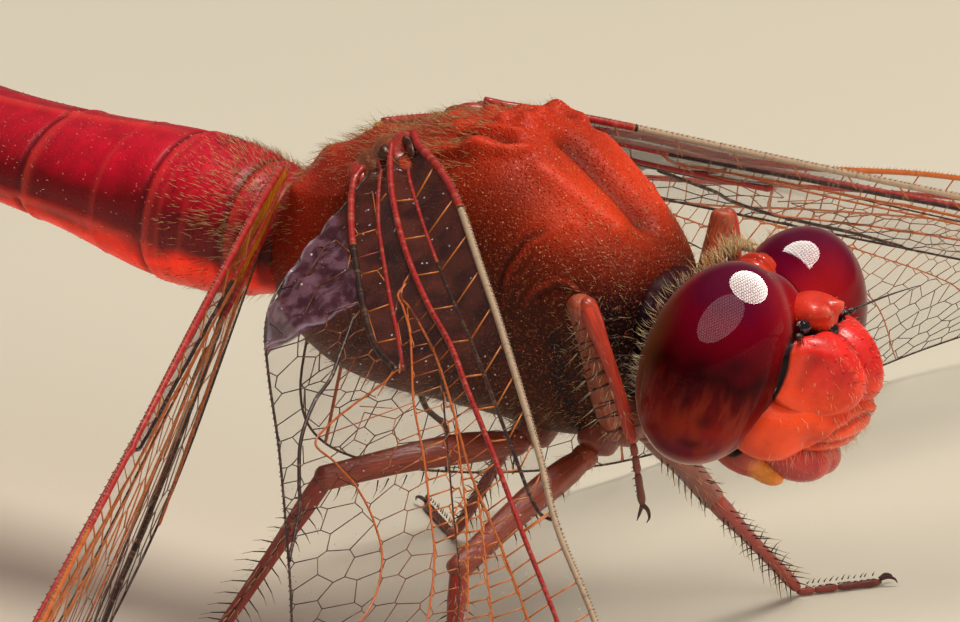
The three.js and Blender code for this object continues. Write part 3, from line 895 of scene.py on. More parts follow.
def makeHeadParts():
    bead = darkMaterial("ocellusBead", (0.006, 0.004, 0.008), (0.02, 0.004, 0.008), 0.12, 1)
    shape = Shape()
    for centre, radius in ocelli:
        ball = np.array(centre) + sphereRings(24, 32) * radius
        addLoft(shape, ball, pattern=ball, place=fromHead)
    makePiece("ocelli", shape, bead)
    material = faceMaterial("occiputShell", (2.1, (0.7, 0.06, 0.012)), (1.6, (0.55, 0.02, 0.008)),
                            (0.3, 0.01, 0.006), (0.9, 0.4, 0.25), 0.22, 0.8)
    ways, _, _, points = swollen(occiput)
    points, cleft = carve(points, ways, occiput["line"])
    makeLoft("occiputTriangle", points, material, None, merged(0 * cleft, cleft, 0 * cleft), fromHead)
    dark = darkMaterial("rearShell", (0.018, 0.008, 0.008), (0.05, 0.018, 0.012), 0.5, 0.2)
    ways, middle = sphereRings(70, 120), np.array((-0.45, 0, -0.1))
    reach = reachOf(ways, middle, middle, (1.1, 2.7, 1.95))
    reach = reach * (1 - 0.05 * bell(ways[..., 1], 0.2) * (ways[..., 0] < 0))
    points = middle + ways * reach[..., None]
    makeLoft("headCapsule", points, dark, None, None, fromHead, ["head_capsule"])


antenna = {
    "base": (1.48, 0.92, 1.13), "way": (0.418, 0.789, 0.452), "bow": (0.05, 0.02, -0.06),
    "joints": ((0.16, 0.1), (0.2, 0.075)), "bristle": 1.7, "bristleRadii": (0.035, 0.022, 0.008),
}


def makeAntennae():
    material = darkMaterial("feelerShell", (0.012, 0.006, 0.005), (0.035, 0.012, 0.008), 0.35, 0.5)
    for word, lower, side in sidesOfBody:
        shape = Shape()
        way, spot = unitRows(np.array(antenna["way"])), np.array(antenna["base"])
        for length, radius in antenna["joints"]:
            end = spot + way * length
            swell = np.array([0.5, 0.85, 1, 1, 1, 0.85, 0.55]) * radius
            addTube(shape, fromHead(sided(np.linspace(spot, end, 7), side)), swell, 14)
            spot = end - way * 0.02
        t = np.linspace(0, 1, 16)[:, None]
        route = spot + way * t * antenna["bristle"] + np.array(antenna["bow"]) * t**2 * 2
        addTube(shape, fromHead(sided(route, side)), antenna["bristleRadii"], 8)
        makePiece("antenna" + word, shape, material, ["antenna_" + lower])


makeFace()
makeHeadParts()
makeAntennae()
print("head made")


thoraxTable = smoothTable([
    [0, 1.7, -1.95, 0.3, 1.5, 2.2], [1.5, 2.8, -2.7, 0.5, 2.15, 2.3], [3.2, 3.4, -2.95, 0.7, 2.6, 2.35],
    [5, 3.95, -2.95, 0.8, 2.85, 2.35], [6.6, 4.2, -3, 0.8, 2.85, 2.4], [7.6, 3.85, -3.1, 0.7, 2.7, 2.4],
    [8.5, 3.25, -3.05, 0.6, 2.5, 2.3], [9.3, 2.65, -2.7, 0.4, 2.2, 2.2], [10, 1.95, -2, 0.3, 1.7, 2.1],
    [10.35, 1.4, -1, 0.3, 1.15, 2],
])  # x, top, bottom, level of greatest width, half width, roundness
thorax = {"length": 10.35, "rings": 210, "around": 320, "skinDepth": 0.04}

# Lines on the thorax: route on the left half, height, width and look. The raised lines are painted as
# highlights, the sunken ones as shade.
thoraxLines = [
    ([(7.2, 0, 4.1), (8, 0, 3.5), (9, 0, 2.8), (9.9, 0, 2)], -0.34, 0.36, "dim"),
    ([(7.45, 0, 3.7), (8.2, 0, 3.2), (9.1, 0, 2.5), (9.9, 0, 1.8)], -0.1, 0.2, "dark"),
    ([(7.6, 0, 3.4), (8.2, 0, 3), (9.1, 0, 2.35), (9.9, 0, 1.7)], 0.13, 0.05, "bright"),
    ([(7.3, 1.35, 3.75), (8.13, 1.25, 3.3), (9.06, 1.05, 2.65), (9.7, 0.8, 2.1)], 0.13, 0.3, "bright"),
    ([(8.9, 1.75, 2.3), (8.71, 1.67, 2.52), (8.57, 1.5, 2.8)], 0.035, 0.06, "bright"),
    ([(7.4, 2.75, 0.6), (7.65, 2.62, 1.48), (8.01, 2.4, 2.06), (8.39, 2.12, 2.33), (8.71, 1.7, 2.52),
        (9.3, 1.45, 2.35)], 0.055, 0.055, "bright"),
    ([(7.3, 2.75, 0.6), (7.52, 2.62, 1.52), (7.92, 2.4, 2.16), (8.36, 2.12, 2.45)], -0.05, 0.09, "dark"),
    ([(7.9, 2.66, 0.3), (8.13, 2.56, 0.95), (8.37, 2.47, 1.16), (8.72, 2.34, 1.34), (9.02, 2.22, 1.26),
        (9.3, 2.08, 1)], 0.055, 0.05, "bright"),
    ([(8.2, 2.5, 0.8), (8.45, 2.42, 1.02), (8.74, 2.3, 1.16), (9, 2.2, 1.08)], -0.05, 0.08, "dark"),
    ([(4.5, 1.75, 3.3), (5, 1.62, 3.5), (5.8, 1.6, 3.68), (6.8, 1.45, 3.8), (7.3, 1, 3.85)], 0.2, 0.16,
        "bright"),
    ([(5, 1.2, 3.75), (5.8, 1.2, 3.9), (6.9, 1.12, 3.95)], -0.16, 0.12, "dark"),
    ([(5.3, 0.85, 3.9), (6.2, 0.85, 4.05), (6.9, 0.8, 4.05)], 0.14, 0.13, "bright"),
    ([(5.2, 2.3, 2.9), (5.9, 2.75, 1.7), (6.5, 2.85, 0.4), (7.1, 2.75, -1.4)], -0.07, 0.09, "dark"),
    ([(3, 2.15, 2.5), (3.8, 2.6, 1.1), (4.6, 2.75, -0.4), (5.3, 2.55, -1.8)], -0.07, 0.09, "dark"),
    ([(1.4, 2, 1.9), (3.2, 2.3, 2.45), (4.6, 2.35, 2.85)], 0.12, 0.14, "bright"),
    ([(6, 2.5, -1.9), (7.4, 2.45, -2), (8.6, 2.1, -1.9)], -0.1, 0.12, "dark"),
]
# Rounded plates between and under the wings: place, size and height.
thoraxKnobs = [
    ((4.3, 2, 3.05), 0.55, 0.28), ((0.8, 1.6, 1.9), 0.45, 0.2), ((6.05, 1.55, 4), 0.34, 0.34),
    ((4.9, 0.75, 4.05), 0.34, 0.3), ((4.3, 0, 3.9), 0.5, 0.28), ((6.55, 0.25, 4.25), 0.27, 0.3),
    ((6, 0.4, 4.15), 0.2, 0.2), ((5.15, 0.35, 4.1), 0.22, 0.2), ((5.6, 0, 4.1), 0.5, 0.12),
    ((3.3, 0.9, 3.3), 0.4, 0.16), ((2.3, 0, 3.3), 0.5, 0.22), ((1.5, 0.8, 2.7), 0.4, 0.16),
    ((0.8, 0, 2.4), 0.4, 0.2), ((4.3, 2.15, 2.7), 0.3, 0.16), ((1.1, 1.7, 1.9), 0.3, 0.14),
]


def thoraxRings(rings, around, grow):
    # The body's main form, with both ends rounded in.
    x = thorax["length"] * (0.5 - 0.5 * np.cos(np.pi * np.linspace(0, 1, rings)))
    top, bottom, level, half, rounded = np.moveaxis(thoraxTable(x)[:, None], -1, 0)
    turn = circle(around)
    across, up = (soften(wave(turn)[None], 2 / rounded) for wave in (np.sin, np.cos))
    ends = np.minimum(1, np.minimum(x + 0.02, thorax["length"] + 0.02 - x) / 0.35)
    squeeze = np.sqrt(1 - (1 - ends[:, None]) ** 2) * 0.5 + 0.5
    reach = np.where(up > 0, top - level + grow, level - bottom + grow)
    return merged(x[:, None] + 0 * across, across * (half + grow) * squeeze, level + up * reach * squeeze)


def thoraxMaterial():
    place, masks, grain = shellMaterial("thoraxShell", 0.085, 0.045)
    x, _, z = axes(place)
    # Colour by height, dark down the sides and bright on top: partly the thorax's own red-brown sides, partly
    # painted shade and light.
    high = wavered(z, noise(place, 0.8, 4), 1.4)
    high = sums("MULTIPLY_ADD", stretch(x, 7.5, 9.8), 0.9, high)
    # Painted shadow: nearly black in front of the forelegs under the head, with a dark band down each side
    # behind them.
    throatShadow = times(stretch(x, 8.9, 9.5), stretch(z, 1.5, 0.5))
    shadowStripe = times(stretch(sums("ABSOLUTE", sums("SUBTRACT", x, 8.75)), 0.32, 0.12), stretch(z, 0.4, -0.3))
    # Redder low at the rear, and brighter over the shoulders as painted light.
    hind = times(stretch(x, 3.2, 1.2), stretch(z, -2, 0.5))
    fore = times(stretch(x, 7.4, 8.8), stretch(z, 1.7, 2.8))
    dust = noise(place, 14, 3)
    colour = layered(
        ramp(stretch(high, -3, 4.4, kind="LINEAR"), {
            0: (0.07, 0.025, 0.012), 0.3: (0.04, 0.009, 0.005), 0.5: (0.05, 0.008, 0.003),
            0.66: (0.1, 0.01, 0.003), 0.8: (0.22, 0.016, 0.004), 1: (0.5, 0.026, 0.006),
        }),
        (sums("MAXIMUM", throatShadow, shadowStripe), 0.85, (0.008, 0.006, 0.009)), (hind, 0.7, (0.46, 0.03, 0.016)),
        (fore, 0.6, (0.72, 0.045, 0.008)), (stretch(dust, 0.52, 0.7), 0.45, (0.4, 0.07, 0.02)),
        # Pale flecks and specks: painted glints.
        (grain["GlintFleck"], 0.75, (0.85, 0.36, 0.18)),
        (specks(place, 17, (0.3, 0.12), (0.66, 0.72)), 0.5, (0.8, 0.3, 0.12)),
        # Grooves painted dark as shade; raised lines and knobs painted pale as highlights, darker low down
        # and brighter high up as painted light.
        (masks[1], 0.75, (0.05, 0.01, 0.006)),
        (times(masks[0], stretch(dust, 0.3, 0.6, 0.35, 0.9)), 1,
         paint(stretch(z, -0.5, 2.6), (0.24, 0.018, 0.005), (0.66, 0.055, 0.02))),
    )
    normal = bumped(sums("MULTIPLY_ADD", dust, 0.9, grain["Height"]), 0.026, 0.9)
    return finished(
        Base_Color=colour, Roughness=0.45, Specular_IOR_Level=0.12, Coat_Roughness=0.2, Normal=normal,
        Coat_Weight=sums("MULTIPLY_ADD", masks[1], -0.16, 0.1, clamp=True), Coat_Normal=normal,
    )


def makeThorax():
    rings = thoraxRings(thorax["rings"], thorax["around"], -thorax["skinDepth"])
    out = outwardNormals(rings)
    folded = rings * (1, 1, 1)
    folded[..., 1] = np.abs(folded[..., 1])
    push = np.zeros(rings.shape[:2])
    bright, dark = np.zeros_like(push), np.zeros_like(push)
    for route, height, width, look in thoraxLines:
        gap, share = toRoute(folded, route)
        fade = held(np.minimum(share, 1 - share) * 8) * 0.8 + 0.2
        mask = bell(gap, width) * fade
        push += mask * height
        if look == "bright":
            bright = np.maximum(bright, mask**3 * min(1, abs(height) * 18))
        else:
            dark = np.maximum(dark, mask if look == "dark" else 0.8 * mask)
    for centre, size, height in thoraxKnobs:
        mask = bell(lengthOf(folded - np.array(centre)), size)
        push += mask * height
        bright = np.maximum(bright, mask**2 * 0.6)
    points = rings + out * push[..., None]
    # Raised lines and knobs give the painted highlights, grooves the painted shade.
    masks = merged(bright * (1 - 0.6 * dark), dark * (1 - bright), push)
    makeLoft("thoraxSkin", points, thoraxMaterial(), points, masks, None, ["thorax"])
    return points, out


thoraxSkin, thoraxOut = makeThorax()


collar = {
    "middle": (10.45, 0, -0.1), "rings": (90, 140), "sharpness": 10,
    "forms": [((10.45, 0, -0.1), (0.85, 1.15, 1.35)), ((10.2, 0.4, 0.75), (0.36, 0.5, 0.36)),
              ((10.85, 0, 0.5), (0.5, 0.8, 0.7)), ((10.4, 0.9, 0), (0.45, 0.45, 0.8))],
    "lines": [([(10.75, 0, 1.45), (10.7, 0.7, 1.25), (10.7, 1.2, 0.5), (10.7, 1.35, -0.3)], 0.06, 0.08),
              ([(10.5, 0, 1.5), (10.48, 0.8, 1.2), (10.45, 1.3, 0.4)], -0.09, 0.07)],
}


def makeNeck():
    # The collar of plates behind the head.
    material = faceMaterial("collarShell", (1.5, (0.045, 0.005, 0.007)), (0.2, (0.007, 0.005, 0.008)),
                            (0.02, 0.003, 0.005), (0.16, 0.02, 0.02), 0.5, 0, 0.12)
    ways, _, _, points = swollen(collar)
    points, raised, sunk = carve(points, ways, *collar["lines"])
    masks = merged(raised, sunk, 0 * sunk)
    makeLoft("collar", points, material, points, masks, None, ["prothorax"])


makeNeck()
print("thorax made")


segmentLengths = (0.9, 2.2, 3.6, 3.7, 3.7, 3.6, 3.3, 2.3, 1.4, 0.9)
segmentEnds = np.cumsum(segmentLengths)
abdomenTable = smoothTable([  # distance from the thorax, height of back, depth of belly, half width
    [-0.6, 1.1, 1.25, 1.2], [0, 1.35, 1.5, 1.5], [1.6, 1.7, 1.9, 1.9], [3.4, 1.65, 1.95, 2],
    [6, 1.3, 1.45, 1.95], [9, 1.05, 1.15, 2.05], [13.5, 1.1, 1.1, 2.3], [18, 1.1, 1.05, 2.2],
    [21.5, 0.95, 0.95, 1.75], [24, 0.8, 0.75, 1.15], [segmentEnds[-1], 0.6, 0.55, 0.75],
])
abdomen = {"step": 0.09, "around": 132, "level": -0.15, "roundness": 2.1, "skinDepth": 0.03}


def abdomenRings():
    length = segmentEnds[-1]
    distance = np.linspace(-0.5, length, int((length + 0.5) / abdomen["step"]))
    back, belly, half = np.moveaxis(abdomenTable(distance), -1, 0)
    turn = circle(abdomen["around"])
    across, up = (soften(wave(turn), 2 / abdomen["roundness"]) for wave in (np.sin, np.cos))
    # Grooves where one ring tucks into the next, with a raised lip before each.
    groove = np.zeros(len(distance))
    for end in segmentEnds[:-1]:
        groove -= 0.07 * bell(distance - end, 0.07)
        groove += 0.035 * bell(distance - end + 0.2, 0.12)
    # Cross ridges on the swollen first segments.
    for spot in (1.9, 2.6, 4.5):
        groove += 0.03 * bell(distance - spot, 0.05)
    sides = np.arctan2(across, up)
    keel = 0.09 * bell(sides, 0.07)
    flank = 0.07 * bell(np.abs(sides) - 1.75, 0.09)
    under = -0.06 * bell(np.abs(sides) - 2.6, 0.1)
    fade = held((distance - 2.5) / 2)[:, None]
    push = groove[:, None] + (keel + flank)[None] * fade + under[None] * fade - abdomen["skinDepth"]
    reach = np.where(up[None] > 0, (back - abdomen["level"])[:, None], (belly + abdomen["level"])[:, None])
    ends = np.minimum(1, np.minimum(distance + 0.5, length - distance) / 0.3 + 0.35)
    ends = np.sqrt(held(1 - (1 - ends) ** 2))[:, None]
    rings = merged(-distance[:, None] + 0 * push, across * (half[:, None] + push) * ends,
                   abdomen["level"] + up * (reach + push) * ends)
    crease = held(-groove / 0.05)[:, None] + 0 * push
    ridge = held((keel + flank) / 0.08)[None] * fade + held(groove / 0.03)[:, None] * 0.5
    return rings, merged(ridge, crease, sides[None] + 0 * push)


def abdomenMaterial():
    place, masks, grain = shellMaterial("abdomenShell", 0.1, 0.04)
    x, y, z = axes(place)
    high = wavered(z, noise(place, 0.9, 4), 1.1)
    tailLine = times(stretch(sums("ABSOLUTE", y), 0.16, 0.06), stretch(x, -19, -22))
    # Colour by height: the glowing red belly is painted light and the darker sides painted shade, over the
    # abdomen's own red.
    colour = layered(
        ramp(stretch(high, -2, 1.7, kind="LINEAR"), {
            0: (0.98, 0.04, 0.004), 0.28: (0.9, 0.022, 0.002), 0.44: (0.075, 0.001, 0.002),
            0.62: (0.1, 0.001, 0.003), 0.85: (0.44, 0.002, 0.015), 1: (0.5, 0.006, 0.021),
        }),
        (grain["Mottle"], 0.3, (0.14, 0.002, 0.005)), (masks[1], 0.8, (0.05, 0.003, 0.005)),
        # Ridges painted pale as highlights, flecks as painted glints.
        (masks[0], 0.45, (0.65, 0.06, 0.04)), (grain["GlintFleck"], 0.4, (0.8, 0.22, 0.18)),
        (times(tailLine, stretch(z, 0, 0.3)), 1, (0.02, 0.003, 0.003)),  # the black line along the back
    )
    normal = bumped(grain["Height"], 0.014, 0.7)
    return finished(Base_Color=colour, Roughness=0.42, Specular_IOR_Level=0.25, Coat_Weight=0.1,
                    Coat_Roughness=0.25, Normal=normal, Coat_Normal=normal)


clasper = {
    "upper": [(0.25, 0.36, 0.18), (-0.3, 0.42, 0.2), (-0.9, 0.46, 0.26), (-1.4, 0.42, 0.33),
              (-1.8, 0.36, 0.42)],
    "upperRadii": (0.17, 0.22, 0.27, 0.24, 0.2, 0.13, 0.03), "lowerRadii": (0.26, 0.3, 0.26, 0.18, 0.05),
    "lower": [(0.25, 0, -0.3), (-0.6, 0, -0.24), (-1, 0, -0.1), (-1.15, 0, 0.02)],
}


def makeAbdomen():
    material = abdomenMaterial()
    rings, masks = abdomenRings()
    names = [f"abdomen_{i + 1:02d}" for i in range(len(segmentLengths))]
    makeLoft("abdomenSkin", rings, material, rings, masks, fromAbdomen, names)
    tail = -segmentEnds[-1] - 0.05
    shape = Shape()
    routes = [(clasper["upper"], clasper["upperRadii"], side) for _, _, side in sidesOfBody]
    for route, radii, side in (*routes, (clasper["lower"], clasper["lowerRadii"], 1)):
        route = smoothRoute([(tail + out, across, up) for out, across, up in route], 0.06)
        addTube(shape, fromAbdomen(sided(route, side)), radii, 18)
    makePiece("claspers", shape, material, ["cercus_left", "cercus_right", "epiproct"])
    return rings


abdomenSkin = makeAbdomen()
print("abdomen made")


floorLevel = -headHeight
footLevel = floorLevel + 0.2
legs = {  # hip, knee, ankle, toe, and whether it stands
    "ForeRight": ((9.75, -1.35, -2.55), (9.6, -2.75, 1.1), (11.1, -2.75, -2), (11.1, -2.35, -3.6), False),
    "ForeLeft": ((9.75, 1.35, -2.55), (10, 2.75, 1.75), (10.6, 2.95, -1.7), (10.9, 2.6, -3.3), False),
    "MiddleRight": ((8.9, -1, -3.1), (7.9, -5.2, -5), (8.3, -6.6, footLevel), (9.6, -8.3, footLevel), True),
    "MiddleLeft": ((8.9, 1, -3.1), (8.6, 4.6, -6.1), (8.8, 8.2, footLevel), (10.1, 9.9, footLevel), True),
    "HindRight": ((7.2, -1.1, -3.2), (4.45, -5.6, -3.36), (0.5, -6.1, footLevel), (-1.4, -7.6, footLevel),
                  True),
    "HindLeft": ((7.2, 1.1, -3.2), (4.2, 5.4, -2.9), (-0.2, 6.7, footLevel), (-2.1, 8.2, footLevel), True),
}
limbs = {
    "sides": 22, "step": 0.07, "endRound": 0.2, "coxaReach": 0.75, "kneeRadius": 0.22,
    "kneeShift": {"ForeRight": (0.22, 0.15, 0)},
    "coxaRadii": (0.5, 0.56, 0.5, 0.42), "ringRadii": (0.2, 0.31, 0.3, 0.22),
    "femurRadii": (0.24, 0.33, 0.36, 0.35, 0.33, 0.31, 0.3, 0.29, 0.29),
    "tibiaRadii": (0.23, 0.23, 0.18, 0.16, 0.15, 0.15, 0.16, 0.13),
    "tarsusRadii": (0.08, 0.09, 0.085, 0.1, 0.08), "footJoints": (0, 0.2, 0.48, 1),
    "claw": ((0, 0, 0), (0.16, 0.09, 0.05), (0.32, 0.14, 0), (0.4, 0.13, -0.12)),  # out, aside, up
    "clawRadii": (0.06, 0.05, 0.035, 0.008), "spineGap": 0.34, "spineLength": 0.62, "spineRadius": 0.02,
}


def legMaterial():
    newMaterial("legShell")
    place, part = carried("pattern"), axes(carried("detail"))
    drawnOut = vector("MULTIPLY", place, (0.9, 3, 3))[0]
    grain = placed(shellGrain, Place=drawnOut, PitSize=0.25, GrainSize=0.09)
    colour = layered(
        ramp(part[0], {
            0: (0.26, 0.045, 0.02), 0.25: (0.5, 0.085, 0.03), 0.5: (0.66, 0.05, 0.02),
            0.75: (0.34, 0.045, 0.028), 1: (0.035, 0.008, 0.006),
        }),
        (grain["Mottle"], 0.5, (0.12, 0.018, 0.01)),
        # Painted shade down one side of each tube, the lower side where it lies level.
        (stretch(axes(place)[2], 0.3, 0.9), 0.35, (0.07, 0.012, 0.008)),
        # Pale flecks as painted glints; the standing legs painted darker as shade.
        (grain["GlintFleck"], 0.6, (0.75, 0.35, 0.25)), (part[2], 0.45, (0.06, 0.007, 0.012)),
        (stretch(part[1], 0.3, 0.7), 1, paint(part[2], (0.03, 0.01, 0.007), (0.34, 0.24, 0.15))),  # spines
    )
    normal = bumped(grain["Height"], 0.015, 0.7)
    return finished(Base_Color=colour, Roughness=0.38, Coat_Weight=0.3, Coat_Roughness=0.2, Normal=normal,
                    Coat_Normal=normal)


def between(start, end, share):
    return floats(start) + (floats(end) - start) * share


def addSpines(shape, start, end, radius, fold, gap, length, rows, lean=0.55):
    # Rows of stiff spines along a limb, each at its turn from the side given by fold, leaning to its far end.
    reach = np.linalg.norm(end - start)
    way = (end - start) / reach
    fold = unitRows(fold - way * (fold @ way))
    beside = np.cross(way, fold)
    count = max(2, int(reach / gap))
    for row in rows:
        out = fold * math.cos(row) + beside * math.sin(row)
        shares = (np.arange(count) + 0.6 + 0.12 * dice.standard_normal(count)) / (count + 0.4)
        roots = start + way * (shares * reach)[:, None] + out * radius * 0.85
        heading = unitRows(out + way * lean + ramble(count, 0.1))
        lengths = (length * varied(count, 0.75, 0.4) * (0.65 + 0.35 * np.sin(np.pi * shares)))[:, None]
        middle = roots + heading * lengths * 0.55
        tip = middle + unitRows(heading + way * 0.35) * lengths * 0.45
        wide, narrow = limbs["spineRadius"], limbs["spineRadius"] * 0.62
        addRods(shape, roots, middle, wide, narrow, 5, roots, (0, 1, 0))
        addRods(shape, middle, tip, narrow, 0.004, 5, roots, (0, 1, 1))


def limbTube(shape, points, radii, part, ridges=0, shade=0):
    route = smoothRoute(points, limbs["step"])
    along = distanceAlong(route)
    spread = np.interp(along / along[-1], np.linspace(0, 1, len(radii)), radii)
    near = held((np.minimum(along, along[-1] - along) + 0.02) / limbs["endRound"])
    spread = spread * np.sqrt(1 - (1 - near) ** 2)
    addTube(shape, route, spread, limbs["sides"], detail=(part, 0, shade), ridges=ridges)


def makeLeg(word, leg, material):
    hip, knee, ankle, toe = (np.array(place, float) for place in leg[:4])
    stands = leg[4]
    # The standing legs, low under the body, are painted darker as shade.
    shade = 1 if stands else 0
    shape = Shape()
    inner = np.array((hip[0] + 0.1, hip[1] * 0.5, hip[2] + limbs["coxaReach"]))
    limbTube(shape, [inner, between(inner, hip, 0.5), hip + (hip - inner) * 0.12], limbs["coxaRadii"], 0)
    ring = [hip + (hip - inner) * 0.06, between(hip, knee, 0.07), between(hip, knee, 0.14)]
    limbTube(shape, ring, limbs["ringRadii"], 0.1)
    bow = between(hip, knee, 0.5) + (0, 0, 0.12)
    thigh = unitRows(knee - hip)
    femur = [between(hip, knee, 0.06), bow, knee + thigh * 0.12]
    limbTube(shape, femur, limbs["femurRadii"], 0.25, 0.03, shade)
    inward = ankle - knee
    inward = unitRows(inward - thigh * (inward @ thigh))
    shinTop = knee + inward * 0.2 - thigh * 0.08 + limbs["kneeShift"].get(word, (0, 0, 0))
    rounded = knee + (shinTop - knee) * 0.6
    addLoft(shape, rounded + sphereRings(16, 24) * limbs["kneeRadius"], detail=(0.4, 0, shade))
    shin = [between(rounded, ankle, -0.03), between(shinTop, ankle, 0.5), ankle]
    limbTube(shape, shin, limbs["tibiaRadii"], 0.5, 0.04, shade)
    heading = unitRows(toe - ankle)
    sink = (0, 0, -0.09 if stands else 0)
    for i in range(3):
        start, end = (between(ankle, toe, share) + sink for share in limbs["footJoints"][i:i + 2])
        limbTube(shape, [start - heading * 0.03, between(start, end, 0.5), end + heading * 0.03],
                 limbs["tarsusRadii"], 0.75 + 0.08 * i)
    across = unitRows(np.cross(heading, (0, 0, 1)))
    up = np.cross(across, heading)
    if up[2] < 0:
        up = -up
    for side in (1, -1):
        claw = [toe + heading * out + across * side * aside + up * lift for out, aside, lift in limbs["claw"]]
        addTube(shape, smoothRoute(claw, 0.04), limbs["clawRadii"], 8, detail=(1, 0, 0))
    # The folded forelegs carry longer spines out to both sides.
    rows, lean = ((-0.75, 0.75, 2.4, -2.4), 0.55) if stands else ((-1.35, 1.35, -0.9), 0.12)
    gap, length = limbs["spineGap"], limbs["spineLength"]
    away = hip - ankle
    for start, end, first, last, *rest in (
        (shinTop, ankle, 0.06, 0.97, 0.17, away, gap, length * (1 if stands else 1.55), rows, lean),
        (hip, knee, 0.25, 0.97, 0.32, inward, gap * 1.2, length * 0.75, (-0.8, 0.8)),
        (ankle, toe, 0.05, 0.95, 0.12, away, 0.16, 0.16, (-0.5, 0.5)),
    ):
        addSpines(shape, between(start, end, first), between(start, end, last), *rest)
    if stands:
        for points in shape.points:
            points[:, 2] = np.maximum(points[:, 2], floorLevel)
    part, side = next((pair, hand) for pair in ("fore", "middle", "hind") for hand in ("right", "left")
                      if word == pair.title() + hand.title())
    names = [f"leg_{part}_{side}_{piece}" for piece in ("coxa", "femur", "tibia", "tarsus")]
    makePiece("leg" + word, shape, material, names)


def makeLegs():
    material = legMaterial()
    for word, leg in legs.items():
        makeLeg(word, leg, material)


makeLegs()
print("legs made")


